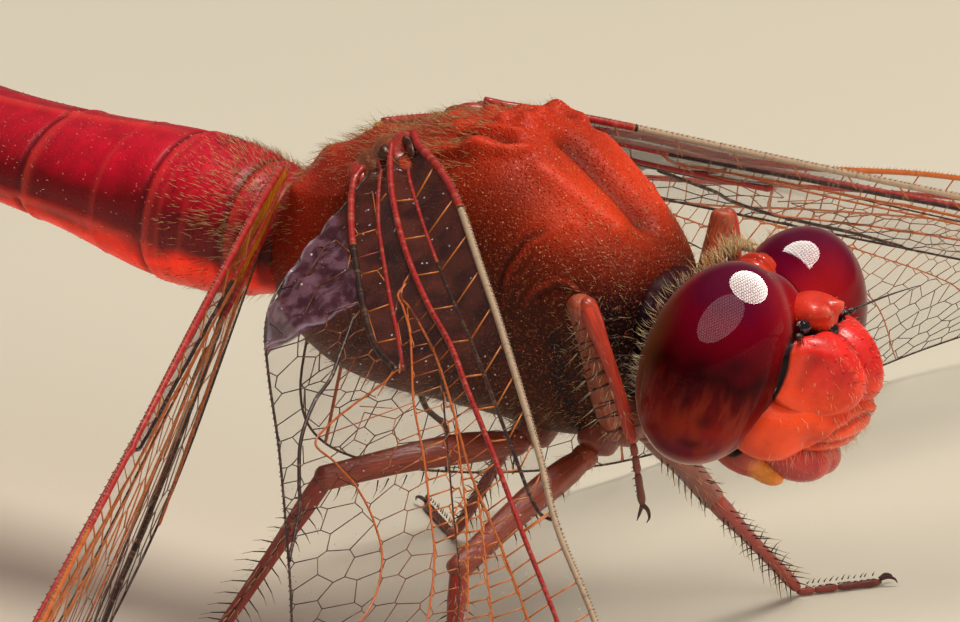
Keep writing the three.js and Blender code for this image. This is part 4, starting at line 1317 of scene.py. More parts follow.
# A wing is laid out flat: distance out from its root, and ahead of its root line. Each vein names the one it
# starts on, its thickness at both ends, its height on the pleated blade, its tone (0 red, 1 orange, 2 dark
# brown, 3 pale) and its route. One that isn't among the stops runs on to the rear edge. Fields of cells lie
# between a front and a rear vein: from, to, cell size, and the share of it by which seeds stray. The extra
# walls are short cross veins: from, to, tone.
thin, fine, slim = (0.023, 0.018), (0.03, 0.02), (0.033, 0.023)
foreWing = {
    "outline": [[0, 0.5, -0.8], [1.2, 0.8, -2.35], [2.3, 0.95, -3.65], [3.3, 1, -4.15], [5, 1, -4.4],
        [8, 1, -4.65], [12.6, 0.9, -5.2], [15.4, 0.75, -5.6], [19, 0.85, -5.95], [23, 0.75, -5.85],
        [26, 0.45, -5.45], [28.4, -0.1, -4.75], [29.8, -0.9, -4], [30.6, -1.9, -3]],
    "plates": 6, "root": (4.2, 2, 3.35), "sweep": 45, "droop": (16, 12), "pitch": [[0, 31], [30.6, 24]],
    "lobe": (0.4, 4.3, -1.75), "patch": None, "rootShade": 9, "front": (3, 3.4), "start": -0.5, "nodus": 15,
    "stigma": (25.2, 27.9), "antenodalSlant": 0.55,
    "antenodals": [1.6, 3.1, 4.6, 6.05, 7.5, 8.9, 10.2, 11.5, 12.7, 13.8],
    "postnodals": [16.3, 17.6, 18.8, 20, 21.1, 22.2, 23.3, 24.3], "stops": ("cup", "a1"),
    "veins": {
        "sc": (None, (0.05, 0.035), -0.12, 2, [(-0.3, 0.15), (1, 0.02), (4.2, 0.05), (8, 0.25), (12, 0.35),
            (14.4, 0.45), (15.05, 0.75)]),
        "r": (None, (0.078, 0.036), 0.14, 0, [(-0.5, -0.05), (0, -0.2), (1.2, -0.4), (2.8, -0.5), (4.1, -0.5),
            (5.8, -0.4), (7.6, -0.2), (9.4, -0.15), (12.2, -0.05), (15, 0), (19, 0.1), (23, 0.05), (26, -0.2),
            (28.4, -0.65), (29.8, -1.3), (30.5, -2)]),
        "rp": ("r", slim, -0.04, 1, [(4.3, -0.55), (4.8, -0.95), (5.4, -0.85), (6.1, -0.75), (7.5, -0.62),
            (9.7, -0.62), (12.2, -0.68), (15, -0.55), (19, -0.5), (23, -0.65), (26, -1), (28.4, -1.6),
            (30.3, -2.6)]),
        "rp2": ("rp", thin, 0.02, 1, [(13, -0.68), (16, -1.05), (19, -1.45), (23, -2.3), (26, -3.3),
            (28.6, -4.65)]),
        "ir2": ("rp", thin, 0.05, 1, [(10.2, -0.65), (13.4, -1.05), (17, -1.75), (21, -2.9), (24, -4.3),
            (25.6, -5.5)]),
        "rp3": ("rp", thin, -0.03, 2, [(8.2, -0.62), (10.5, -0.95), (13, -1.3), (16, -1.75), (19, -2.8),
            (21.4, -4.2), (22.6, -5.85)]),
        "ma": ("r", fine, 0.05, 1, [(4.3, -0.6), (4.8, -1), (5.3, -0.98), (6.3, -1), (7.3, -1.15),
            (8.8, -1.4), (10.8, -1.55), (12.5, -1.75), (14.6, -2.05), (17, -2.85), (19.2, -4.2),
            (20.3, -5.9)]),
        "mp": ("cup", fine, -0.05, 1, [(7.35, -1.45), (8.2, -3.75), (9.4, -3.5), (10.6, -3.2), (12.1, -3.05),
            (13.6, -3.15), (15, -3.8), (16.2, -5.65)]),
        "cup": (None, (0.06, 0.05), -0.1, 0, [(-0.2, -0.5), (0.9, -0.8), (2, -1), (3.3, -1.12), (4.5, -1.22),
            (6.1, -1.32), (7.35, -1.42)]),
        "a1": (None, (0.085, 0.04), 0.07, 2, [(-0.4, -0.9), (-0.1, -1.2), (0.8, -1.42), (1.8, -1.6),
            (2.8, -1.7), (4.8, -1.85), (6.2, -1.85), (7.4, -1.55)]),
        "cua": ("a1", (0.05, 0.03), 0.05, 2, [(4.7, -2.1), (5.3, -2.4), (5.9, -2.72), (6.5, -3.05),
            (7, -3.55), (8.1, -4.1), (9.5, -4.4), (10.4, -4.55), (12, -5.1)]),
    },
    "fields": [("r", "rp", 5.2, 30.2, 0.62, 0.04), ("rp", "rp2", 13.4, 30.3, 0.5, 0.1),
        ("rp2", "ir2", 11, 28.5, 0.52, 0.12), ("rp", "rp3", 8.6, 10.3, 0.6, 0.05),
        ("ir2", "rp3", 9.2, 25.4, 0.55, 0.12), ("rp3", "ma", 5, 22.4, 0.58, 0.1),
        ("ma", "mp", 8.5, 20.2, 0.76, 0.14), ("mp", "cua", 8.6, 16.2, 0.8, 0.16),
        ("ma", "cup", 5.2, 7.4, 1, 0.04), ("a1", "cua", 5, 7.6, 0.8, 0.14),
        ("cua", "trail", 3.9, 12, 0.86, 0.18), ("a1", "trail", 1, 3.7, 1.1, 0.12),
        ("r", "cup", -0.1, 4.2, 2.6, 0.02), ("cup", "a1", -0.1, 7.2, 1.55, 0.05)],
    "extra": [((8.8, -1.4), (8.2, -3.75), 1), ((7.9, -2.6), (8.6, -1.9), 1), ((5.35, -1.25), (4.8, -1), 1),
        ((2.8, -1.12), (2.8, -1.7), 0), ((8.2, -3.75), (8.1, -4.1), 2)],
}
hindWing = {
    "outline": [[0, 0.5, -1.6], [0.8, 0.7, -4.2], [1.8, 0.9, -6.9], [3, 1, -8.2], [5, 1.1, -8.8],
        [8, 1.1, -8.9], [11.6, 0.8, -8.6], [14, 0.75, -8.3], [18, 0.95, -7.7], [22, 0.8, -6.8],
        [25, 0.45, -5.8], [27.2, -0.2, -4.7], [28.5, -1, -3.8], [29.2, -2, -2.8]],
    "plates": 0, "root": (0.7, 1.75, 2.1), "sweep": 17, "droop": (18, 13),
    "pitch": [[0, 70], [12, 69], [16, 64], [20, 56], [24, 48], [29.2, 42]], "lobe": None,
    "patch": (3.4, -4.4), "rootShade": 3, "front": (1, 15), "start": 0.2, "nodus": 11.6, "stigma": (23.4, 26.1),
    "antenodalSlant": 0.5,
    "antenodals": [1.6, 3.3, 5, 6.7, 8.3, 9.9],
    "postnodals": [12.9, 14.2, 15.5, 16.7, 17.9, 19.1, 20.3, 21.4, 22.4], "stops": ("cup",),
    "veins": {
        "sc": (None, (0.05, 0.035), -0.09, 2, [(-0.3, 0.15), (1, 0.1), (4, 0.2), (8, 0.35), (11, 0.42),
            (11.65, 0.8)]),
        "r": (None, (0.085, 0.04), 0.3, 0, [(-0.5, -0.1), (0, -0.2), (2, -0.35), (5, -0.3), (8, -0.15),
            (11.6, 0), (16, 0.15), (20, 0.15), (24, -0.1), (27, -0.75), (28.3, -1.4), (29.1, -2.2)]),
        "rp": ("r", slim, -0.04, 1, [(2.9, -0.4), (3.3, -0.75), (5, -0.6), (8, -0.55), (11.6, -0.55),
            (15, -0.42), (20, -0.5), (24, -0.9), (27, -1.65), (28.9, -2.5)]),
        "rp2": ("rp", thin, 0.02, 1, [(11, -0.56), (14, -1), (18, -1.8), (22, -3.1), (25.8, -5.5)]),
        "ir2": ("rp", thin, 0.05, 1, [(8, -0.56), (11, -1.05), (15, -1.95), (19, -3.3), (22.8, -6.5)]),
        "rp3": ("rp", thin, -0.03, 2, [(6.2, -0.6), (9, -1.1), (12, -1.85), (15.5, -3.1), (18.5, -4.9),
            (20.3, -7.2)]),
        "ma": ("r", fine, 0.05, 1, [(2.9, -0.45), (3.3, -0.9), (6.1, -1.25), (8.5, -1.65), (11.5, -2.5),
            (14.5, -3.8), (17, -5.7), (18.1, -7.65)]),
        "mp": ("cup", fine, -0.05, 1, [(3.7, -1.35), (5.4, -2.1), (7.5, -3.2), (10, -4.9), (12, -6.8),
            (13.2, -8.4)]),
        "cup": (None, (0.06, 0.05), -0.1, 0, [(-0.2, -0.6), (0.9, -0.95), (2.4, -1.2), (3.7, -1.35)]),
        "cua": ("mp", fine, 0.05, 2, [(4.4, -1.7), (6.2, -3.6), (7.8, -5.6), (9, -7.2), (9.7, -8.85)]),
        "a1": (None, (0.09, 0.035), 0.06, 2, [(-0.4, -1), (0.4, -1.4), (1.8, -1.75), (2.9, -2), (3.3, -3.4),
            (4.3, -5.3), (5.9, -7.1), (6.9, -7.7), (7.6, -8.9)]),
        "a2": ("a1", (0.045, 0.03), -0.04, 1, [(1.6, -1.7), (1.9, -3.6), (2.6, -6), (3.4, -8.4)]),
    },
    "fields": [("r", "rp", 3.6, 28.8, 0.62, 0.04), ("rp", "rp2", 11.4, 28.8, 0.5, 0.1),
        ("rp2", "ir2", 8.6, 25.6, 0.55, 0.12), ("ir2", "rp3", 7, 22.6, 0.58, 0.12),
        ("rp3", "ma", 3.6, 20.2, 0.6, 0.1), ("ma", "mp", 4, 18, 0.76, 0.14),
        ("mp", "cua", 4.6, 13.1, 0.8, 0.14), ("cua", "a1", 3.2, 9.6, 0.8, 0.14),
        ("a1", "a2", 1.9, 7.5, 0.8, 0.14), ("a2", "trail", 0.6, 3.3, 0.9, 0.14),
        ("a1", "trail", 0.1, 1.6, 0.9, 0.12), ("r", "cup", -0.1, 2.8, 1.9, 0.02),
        ("cup", "a1", -0.1, 3.7, 1.3, 0.05)],
    "extra": [((6.1, -1.25), (5.4, -2.1), 1), ((4.9, -1.6), (4.7, -1.1), 1)],
}
blade = {
    "thickness": 0.016, "outStep": 0.17, "across": 30, "costaThick": (0.098, 0.05),
    "edgeThick": (0.034, 0.022), "crossThick": 0.0115, "costaHeight": 0.1, "tubeSides": 7,
    "redTo": {"sc": 4.5, "a1": 2.6},  # how far out a vein is red
}
teeth = (  # edge, gap, length, rise, push ahead, tone, thickness of the edge
    ("lead", 0.13, 0.07, 0.6, 1, 3, "costaThick"), ("r", 0.3, 0.05, 1, 0.1, 2, "costaThick"),
    ("trail", 0.24, 0.04, 0.3, -1, 2, "edgeThick"),
)


def wingPoints(wing, out, ahead, above):
    # Places in the body's frame for the left wing, bent down along its span and twisted along it.
    span = wing["outline"][-1][0]
    out, ahead, above = np.broadcast_arrays(*(floats(v) for v in (out, ahead, above)))
    pitch = np.radians(smoothTable(wing["pitch"])(np.clip(out, 0, span)))
    sweep = math.radians(wing["sweep"])
    first, last = (math.radians(v) for v in wing["droop"])
    bend = (last - first) / span
    droop = first + bend * out
    reach = (np.sin(droop) - math.sin(first)) / bend
    fall = (math.cos(first) - np.cos(droop)) / bend
    level = np.array([math.cos(sweep), -math.sin(sweep), 0])
    upright = merged(math.sin(sweep) * np.sin(droop), math.cos(sweep) * np.sin(droop), np.cos(droop))
    x, y, z = wing["root"]
    root = merged(x + math.sin(sweep) * reach, y + math.cos(sweep) * reach, z - fall)
    forward = np.cos(pitch) * level + np.sin(pitch) * upright
    lift = np.cos(pitch) * upright - np.sin(pitch) * level
    return root + ahead[..., None] * forward + above[..., None] * lift


def prepareWing(wing):
    # Gives readers for where each vein lies and for the height of the pleated blade.
    edges = smoothTable(wing["outline"])
    span = wing["outline"][-1][0]
    lead = lambda out: edges(np.clip(out, 0, span))[..., 0]
    trail = lambda out: edges(np.clip(out, 0, span))[..., 1]
    readers = {"lead": lead, "trail": trail}

    def reader(name):
        parent, _, _, _, route = wing["veins"][name]
        route = smoothRoute(route, 0.1)
        outs = np.maximum.accumulate(route[:, 0] + np.arange(len(route)) * 1e-6)

        def read(out):
            value = np.interp(out, outs, route[:, 1])
            if parent:
                value = np.where(out < outs[0], readers[parent](out), value)
            beyond = value if name in wing["stops"] else trail(out)
            return np.clip(np.where(out > outs[-1], beyond, value), trail(out), lead(out))

        return read

    for name in wing["veins"]:
        readers[name] = reader(name)
    outs, aheads = np.linspace(-0.6, span, 240), np.linspace(-9.2, 1.4, 260)
    table = np.zeros((len(outs), len(aheads)))
    for i, out in enumerate(outs):
        rows = [(lead(out), blade["costaHeight"]), (trail(out), 0)]
        for name, (_, _, level, _, route) in wing["veins"].items():
            if route[0][0] <= out <= route[-1][0]:
                rows.append((float(readers[name](out)), level))
        table[i] = np.interp(aheads, *zip(*sorted(rows))) * (1 - 0.75 * held(out / span))

    def height(out, ahead):
        u = np.clip((out - outs[0]) / (outs[1] - outs[0]), 0, len(outs) - 1.001)
        v = np.clip((ahead - aheads[0]) / (aheads[1] - aheads[0]), 0, len(aheads) - 1.001)
        i, j = u.astype(int), v.astype(int)
        s, t = u - i, v - j
        return ((table[i, j] * (1 - t) + table[i, j + 1] * t) * (1 - s)
                + (table[i + 1, j] * (1 - t) + table[i + 1, j + 1] * t) * s)

    return readers, height


def fieldEdges(front, rear, start, end, cell, stray):
    # The walls between cells laid in rows between two veins, cut off at the veins.
    seeds, real = [], []
    out = start
    while out < end:
        width = float(front(out) - rear(out))
        if width > 0.12:
            count = max(1, round(width / cell))
            gap = width / count
            for k in range(-1, count + 1):
                shift = cell * 0.5 * (k % 2 if count > 1 else 0)
                jitter = dice.standard_normal(2) * stray * cell
                own = 0 <= k < count
                seeds.append((out + shift + (jitter[0] if own else 0),
                              float(rear(out + shift)) + (k + 0.5) * gap + (jitter[1] if own else 0)))
                real.append(own)
            out += max(cell * 0.9, min(gap * 1.05, cell * 1.1))
        else:
            out += cell * 0.5
    if sum(real) < 2:
        return np.zeros((0, 2, 2))
    points, _, triangles, origin, _, _ = delaunay_2d_cdt([Vector(s) for s in seeds], [], [], 0, 1e-6)
    points, triangles = np.array([tuple(p) for p in points]), np.array(triangles)
    own = [any(real[i] for i in ids) for ids in origin]
    a, b, c = (points[triangles[:, i]] for i in range(3))
    (bx, by), (cx, cy) = (b - a).T, (c - a).T
    bb, cc = ((b - a) ** 2).sum(1), ((c - a) ** 2).sum(1)
    centres = a + merged(cy * bb - by * cc, bx * cc - cx * bb) / (2 * (bx * cy - by * cx))[:, None]
    shared = {}
    walls = []
    for t, corners in enumerate(triangles):
        for i in range(3):
            key = tuple(sorted((corners[i], corners[(i + 1) % 3])))
            if key in shared:
                if own[key[0]] or own[key[1]]:
                    walls.append((shared[key], t))
            else:
                shared[key] = t
    walls = np.array(walls)
    starts, ends = centres[walls[:, 0]], centres[walls[:, 1]]
    share = np.linspace(0, 1, 81)[None, :, None]
    along = starts[:, None] * (1 - share) + ends[:, None] * share
    x, y = np.moveaxis(along, -1, 0)
    inside = (y < front(x)) & (y > rear(x)) & (x > start - 0.3) & (x < end + 0.3)
    kept = inside.any(axis=1) & (lengthOf(ends - starts) < 4 * cell)
    along, inside = along[kept], inside[kept]
    first, last = inside.argmax(axis=1), inside.shape[1] - 1 - inside[:, ::-1].argmax(axis=1)
    edges = np.stack([along[np.arange(len(along)), place] for place in (first, last)], axis=1)
    return edges[lengthOf(edges[:, 1] - edges[:, 0]) > 0.06]


def wallTone(edges, readers, span):
    # Orange near the root and the front edge, darkening to the rear.
    x, y = edges.mean(axis=1).T
    lead = readers["lead"](x)
    depth = (lead - y) / (lead - readers["trail"](x))
    return np.clip(0.95 + 1.5 * held(depth - 0.35) + 0.5 * x / span, 0, 2)


def makeWingPattern(wing):
    # Everything in plan: main veins as routes, cross veins as straight walls with a tone each.
    readers, height = prepareWing(wing)
    span, tipFront, tipRear = wing["outline"][-1]
    leadOuts = np.concatenate([np.linspace(wing["start"], 2, 14)[:-1], np.linspace(2, span, 150)])
    trailOuts = np.linspace(0, span, 170)
    tip = np.column_stack([np.full(8, span), np.linspace(tipFront, tipRear, 8)])
    routes = [(np.column_stack([leadOuts, readers["lead"](leadOuts)]), blade["costaThick"], *wing["front"]),
              (np.column_stack([trailOuts, readers["trail"](trailOuts)]), blade["edgeThick"], 2, -1),
              (tip, (0.05, 0.03), 2, -1)]
    for name, (_, thick, _, tone, route) in wing["veins"].items():
        route = smoothRoute(route, 0.12)
        routes.append((route[route[:, 0] >= wing["start"]], thick, tone, blade["redTo"].get(name, -1)))
    walls, tones = [], []
    for front, rear, *rest in wing["fields"]:
        walls.append(fieldEdges(readers[front], readers[rear], *rest))
        tones.append(wallTone(walls[-1], readers, span))
    nodus, stigmaEnd = wing["nodus"], wing["stigma"][1]
    ladders = [("lead", "sc", wing["antenodals"], wing["antenodalSlant"]), ("sc", "r", wing["antenodals"], 0),
               ("lead", "r", wing["postnodals"] + [stigmaEnd + 0.8, stigmaEnd + 1.4], 0.15),
               ("lead", "r", [nodus, nodus + 0.06], 0.25)]
    for front, rear, outs, slant in ladders:
        outs = floats(outs)
        ends = [np.stack([x, readers[name](x)], axis=1) for name, x in ((rear, outs), (front, outs - slant))]
        walls.append(np.stack(ends, axis=1))
        tones.append(np.full(len(outs), 1.2))
    for start, end, tone in wing["extra"]:
        walls.append(np.array([[start, end]], float))
        tones.append([tone])
    return readers, height, routes, np.concatenate(walls), np.concatenate(tones)


def veinMaterial():
    newMaterial("wingVein")
    place, marks = carried("pattern"), axes(carried("detail"))
    speckle = noise(place, 9, 3)
    colour = layered(
        ramp(sums("DIVIDE", marks[0], 4), {
            0: (0.36, 0.014, 0.012), 0.2: (0.36, 0.04, 0.012), 0.3: (0.62, 0.17, 0.018),
            0.36: (0.22, 0.05, 0.01), 0.43: (0.07, 0.014, 0.006), 0.5: (0.022, 0.008, 0.006),
            0.62: (0.03, 0.012, 0.01), 0.75: (0.42, 0.3, 0.2), 1: (0.3, 0.12, 0.02),
        }),
        (stretch(speckle, 0.5, 0.7), 0.22, (0.7, 0.34, 0.2)),
        (stretch(speckle, 0.45, 0.3), 0.45, (0.08, 0.012, 0.008)),
    )
    return finished(Base_Color=colour, Roughness=0.4, Coat_Weight=0.25, Coat_Roughness=0.18,
                    Normal=bumped(speckle, 0.012, 0.6))


def membraneMaterial():
    newMaterial("wingMembrane")
    place, marks = carried("pattern"), axes(carried("detail"))
    cloud = noise(place, 1.1, 4)
    speck = specks(place, 5, (0.16, 0.08), (0.72, 0.76))
    lobe, rim = stretch(marks[0], 0, 1), stretch(marks[0], 1, 2)
    wrinkles = noise(place, 3.2, 3)
    glint = times(stretch(wrinkles, 0.7, 0.74), stretch(marks[2], 0.3, 0.8))
    film = layered(
        (0.035, 0.008, 0.008), (stretch(cloud, 0.35, 0.65), 1, (0.12, 0.028, 0.018)),
        (lobe, 1, paint(stretch(wrinkles, 0.4, 0.62), (0.07, 0.018, 0.03), (0.2, 0.09, 0.13))),
        # The lobe's pale rim, with glints painted along the wrinkles near the root as highlights.
        (sums("MAXIMUM", rim, glint), 1, (0.62, 0.52, 0.62)), (marks[1], 1, (0.75, 0.27, 0.012)),
        # White specks, partly dust and partly painted glints.
        (speck, 1, (0.8, 0.78, 0.8)),
    )
    alpha = sums("MULTIPLY_ADD", node("LayerWeight", {"Blend": 0.22}).outputs["Facing"], 0.16, 0.04)
    # The root's painted shade also thickens the film.
    for mask, share in ((lobe, 0.66), (sums("MAXIMUM", rim, glint), 0.35), (marks[1], 0.55), (marks[2], 0.42),
                        (speck, 0.3)):
        alpha = sums("MULTIPLY_ADD", mask, share, alpha)
    return finished(
        Base_Color=film, Roughness=0.12, Specular_IOR_Level=0.6, Coat_Weight=0.5, Coat_Roughness=0.08,
        Alpha=sums("MINIMUM", alpha, 0.85), Normal=bumped(noise(place, 2.6, 2), 0.05, 0.8),
    )


def addMembrane(shape, wing, readers, height, side):
    span = wing["outline"][-1][0]
    outs = np.concatenate([[0, 0.04, 0.1], np.arange(0.2, span, blade["outStep"]), [span]])
    lead, trail = readers["lead"](outs), readers["trail"](outs)
    aheads = trail[:, None] + (lead - trail)[:, None] * np.linspace(0, 1, blade["across"])
    grid = np.broadcast_to(outs[:, None], aheads.shape)
    level = height(grid, aheads)
    # Both faces of the film in one closed sheet: each ring runs over the top and back underneath.
    half = blade["thickness"] / 2
    top, bottom = merged(grid, aheads, level + half), merged(grid, aheads, level - half)
    rings = np.concatenate([top, bottom[:, ::-1]], axis=1)
    x, y = rings[..., 0], rings[..., 1]
    lobe, patch = np.zeros((2, *x.shape))
    if wing["lobe"]:
        first, last, edge = wing["lobe"]
        lobe = held((x - first + 0.4) / 0.6) * held((last + 0.05 - x) / 0.1) * held((edge - y) / 0.15)
        away = np.minimum(np.abs(last - 0.02 - x), np.abs(y - readers["trail"](x) - 0.03))
        lobe = lobe * (1 + bell(away, 0.06))
        rings[..., 2] += np.minimum(lobe, 1) * 0.07 * (np.sin(5.3 * x + 2.2 * y) + np.sin(7.1 * y - 3 * x))
    if wing["patch"]:
        patch = held((1 - np.hypot(x / wing["patch"][0], (y + 1.2) / (-wing["patch"][1] - 0.6))) / 0.35)
    # Darker, denser film near the root: painted shade.
    rootShade = held((wing["rootShade"] - x) / 3) * held(1 - lobe) * np.clip((y + 2) / 0.3, 0.08, 1)
    place = lambda points: sided(wingPoints(wing, *points.T), side)
    addLoft(shape, rings, rings, merged(lobe, patch, rootShade), place)


def addVeins(shape, wing, pattern, side):
    readers, height, routes, walls, tones = pattern
    place = lambda out, ahead, lift=0: sided(wingPoints(wing, out, ahead, height(out, ahead) + lift), side)
    span = wing["outline"][-1][0]
    for route, thick, tone, redTo in routes:
        marks = np.zeros((len(route), blade["tubeSides"], 3))
        marks[..., 0] = np.where((redTo > 0) & (held((redTo - route[:, :1]) / 0.6) > 0.5), 0, tone)
        flat = np.column_stack([route, 0 * route[:, 0]])[:, None] + np.zeros(marks.shape)
        swell = np.interp(route[:, 0], (-0.5, 0.4, 2, span), (1, 1.05, 1, 1))
        spread = np.interp(route[:, 0], (0, span), thick) * swell
        addTube(shape, place(*route.T), spread, blade["tubeSides"], flat, marks)
    starts, ends = (place(*walls[:, i].T) for i in range(2))
    middle = np.column_stack([walls.mean(axis=1), 0 * tones])
    near = 1 + 0.6 * np.exp(-walls[:, 0, 0] / 7) + 0.7 * (tones > 1.15) * (tones < 1.25)
    radii = blade["crossThick"] * near
    addRods(shape, starts, ends, radii, radii, 5, middle, merged(tones, 0 * tones, 0 * tones))
    # Small plates that hold the vein roots.
    for centre, radii, tone in hinge[:wing["plates"]]:
        ball = np.array(centre) + sphereRings(16, 24) * np.array(radii)
        addLoft(shape, ball, ball, (tone, 0, 0), lambda points: place(*points.T))
    # Fine teeth along the front edge, the strong vein behind it and the rear edge.
    for name, gap, size, rise, push, tone, thick in teeth:
        outs = np.arange(0.3, span - 0.4, gap)
        outs = outs + 0.02 * dice.standard_normal(len(outs))
        aheads = readers[name](outs)
        radius = np.interp(outs, (0, span), blade[thick])
        base = place(outs, aheads + push * radius * 0.6, rise * radius * 0.6)
        tips = place(outs + 0.05, aheads + push * (radius * 0.6 + size), rise * (radius * 0.6 + size))
        addRods(shape, base, tips, 0.022, 0.004, 4, np.column_stack([outs, aheads, 0 * outs]), (tone, 0, 0))
    # The thick coloured cell near the tip.
    first, last = wing["stigma"]
    outs = np.linspace(first, last, 30)
    edge = 0.5 * np.clip(np.minimum(outs - first, last - outs) / 0.2, 0.05, 1) ** 0.5
    front, rear = readers["lead"](outs), readers["r"](outs)
    turn = circle(20)
    aheads = ((front + rear) / 2)[:, None] + ((front - rear) / 2)[:, None] * np.cos(turn)
    rings = merged(outs[:, None] + 0 * aheads, aheads, edge[:, None] * 0.11 * np.sin(turn))
    addLoft(shape, rings, rings, (4, 0, 0), lambda points: place(*points.T))


hinge = (  # place in plan, radii and tone of each root plate
    ((-0.45, 0.1, -0.2), (0.6, 0.36, 0.24), 0.15), ((-0.7, -0.3, -0.18), (0.5, 0.38, 0.24), 1.45),
    ((-0.1, 0.3, 0.04), (0.34, 0.13, 0.12), 1.75), ((-0.3, -0.28, 0.04), (0.24, 0.16, 0.15), 1.8),
    ((-0.6, -0.8, -0.22), (0.55, 0.4, 0.24), 1.55), ((-0.5, -1.1, -0.16), (0.42, 0.26, 0.18), 0.35),
)


def makeWings():
    film, vein = membraneMaterial(), veinMaterial()
    for part, wing in (("Fore", foreWing), ("Hind", hindWing)):
        pattern = makeWingPattern(wing)
        print(part, "wing:", len(pattern[3]), "cross veins")
        for word, lower, side in sidesOfBody:
            skin, net = Shape(), Shape()
            addMembrane(skin, wing, *pattern[:2], side)
            addVeins(net, wing, pattern, side)
            nodes = [f"wing_{part.lower()}_{lower}"]
            for end, shape, material in (("Membrane", skin, film), ("Veins", net, vein)):
                makePiece(f"wing{part}{word}{end}", shape, material, nodes)


makeWings()
print("wings made")


def scatter(points, outward, weights, count):
    # Random roots on a grid that closes round itself, denser where the weights are higher. Also gives each
    # root's place on the unwrapped grid.
    rows, columns = points.shape[:2]
    beside = np.roll(points, -1, axis=1)
    corners = points[:-1], beside[:-1], beside[1:], points[1:]
    area = lengthOf(np.cross(corners[2] - corners[0], corners[3] - corners[1]))
    chance = (area * weights[:-1]).ravel()
    i, j = np.divmod(dice.choice(chance.size, count, p=chance / chance.sum()), columns)
    s, t = dice.random((2, count, 1))
    a, b, c, d = (corner[i, j] for corner in corners)
    roots = (a * (1 - t) + b * t) * (1 - s) + (d * (1 - t) + c * t) * s
    spots = np.column_stack([(i + s[:, 0]) / rows, (j + t[:, 0]) / columns]) * 0.98 + 0.01
    return roots, unitRows(outward[i, j]), spots


def hairMaterial():
    newMaterial("fineHair")
    marks = axes(carried("pattern"))
    streak = noise(node("TexCoord", {}).outputs["Object"], 900, 2)
    # Tone runs from black through golden brown to cream.
    colour = layered(
        ramp(wavered(marks[1], streak, 0.25), {
            0: (0.01, 0.006, 0.005), 0.25: (0.05, 0.018, 0.008), 0.5: (0.42, 0.2, 0.06),
            0.75: (0.62, 0.44, 0.2), 1: (0.8, 0.7, 0.48),
        }),
        (stretch(marks[0], 0.35, 0), 0.45, (0.06, 0.02, 0.01)),
    )
    return finished(Base_Color=colour, Roughness=0.5, Specular_IOR_Level=0.4)


hair = hairMaterial()


def makeHairs(name, slotName, *hairs):
    shape = Shape()
    addHairs(shape, *hairs)
    makePiece(name, shape, hair)


def comb(roots, outward, lie, stand, spread=0.2):
    # Ways of hairs that partly stand up from the skin and partly lie along the given way.
    along = lie - outward * (outward * lie).sum(-1, keepdims=True)
    return unitRows(outward * stand + unitRows(along) * (1 - stand) + ramble(len(roots), spread))


coats = {  # spans are given as the least value and what chance adds to it
    "thorax": {"count": 4200, "radius": 0.0055},
    "fringe": {"count": 150, "radius": 0.0062, "length": (0.12, 0.28), "back": (-1.08, -0.34)},
    "crown": {"count": 260, "radius": 0.008, "length": (0.25, 0.25)},
    "face": {"radius": 0.0036, "plates": {
        "frons": (320, 0.13, 0.95), "clypeus": (620, 0.17, 0.95), "labrum": (240, 0.1, 0.95),
        "labium": (260, 0.16, 0.9), "vertex": (60, 0.08, 0.85),
    }},
    "bristles": {"frons": (60, 0.15), "clypeus": (24, 0.14)},
    "abdomen": {"count": 2600, "radius": 0.005},
    "legs": {"count": 130, "radius": 0.006, "length": 0.3},
}


def makeThoraxHair():
    x, y, z = np.moveaxis(thoraxSkin, -1, 0)
    # Thick between the wings and over the rear, thin on the sides, thicker again underneath and in front.
    backTop = held((6.6 - x) / 1.2) * held((z - 2.2) / 0.8)
    rear = held((1.6 - x) / 1.2) * held((z + 1) / 1.5)
    under = held((-1.2 - z) / 1)
    front = held((x - 8.4) / 0.8) * held((z + 2.5) / 1.5) * held((np.abs(y) - 0.8) / 0.5)
    weights = 0.12 + 1.1 * backTop + 0.7 * rear + 0.2 * under + 0.35 * front
    weights[:3] = weights[-3:] = 0
    roots, outward, spots = scatter(thoraxSkin, thoraxOut, weights, coats["thorax"]["count"])
    count = len(roots)
    rx, _, rz = roots.T
    thick = held((6.6 - rx) / 1.2) * held((rz - 2.2) / 0.8)
    thick = np.maximum(thick, held((1.6 - rx) / 1.2) * held((rz + 0.5) / 1.5))
    forward = held((rx - 8.4) / 0.8)
    below = held((-1.2 - rz) / 1)
    lengths = (0.07 + 0.3 * thick + 0.16 * np.maximum(below, forward)) * varied(count, 0.6, 0.7)
    lie = np.array((-1, 0, -0.25)) + np.array((0.6, 0, 0.9)) * forward[:, None]
    ways = comb(roots, outward, lie + ramble(count, 0.25), 0.45, 0.22)
    tones = varied(count, 0.5, 0.15) + 0.15 * np.maximum(forward, below)
    bends = (-0.5, 0, -0.35) + ramble(count, 0.25)
    radius = coats["thorax"]["radius"]
    makeHairs("thoraxHair", "thorax_shell", roots, ways, bends, lengths, radius, spots, tones)


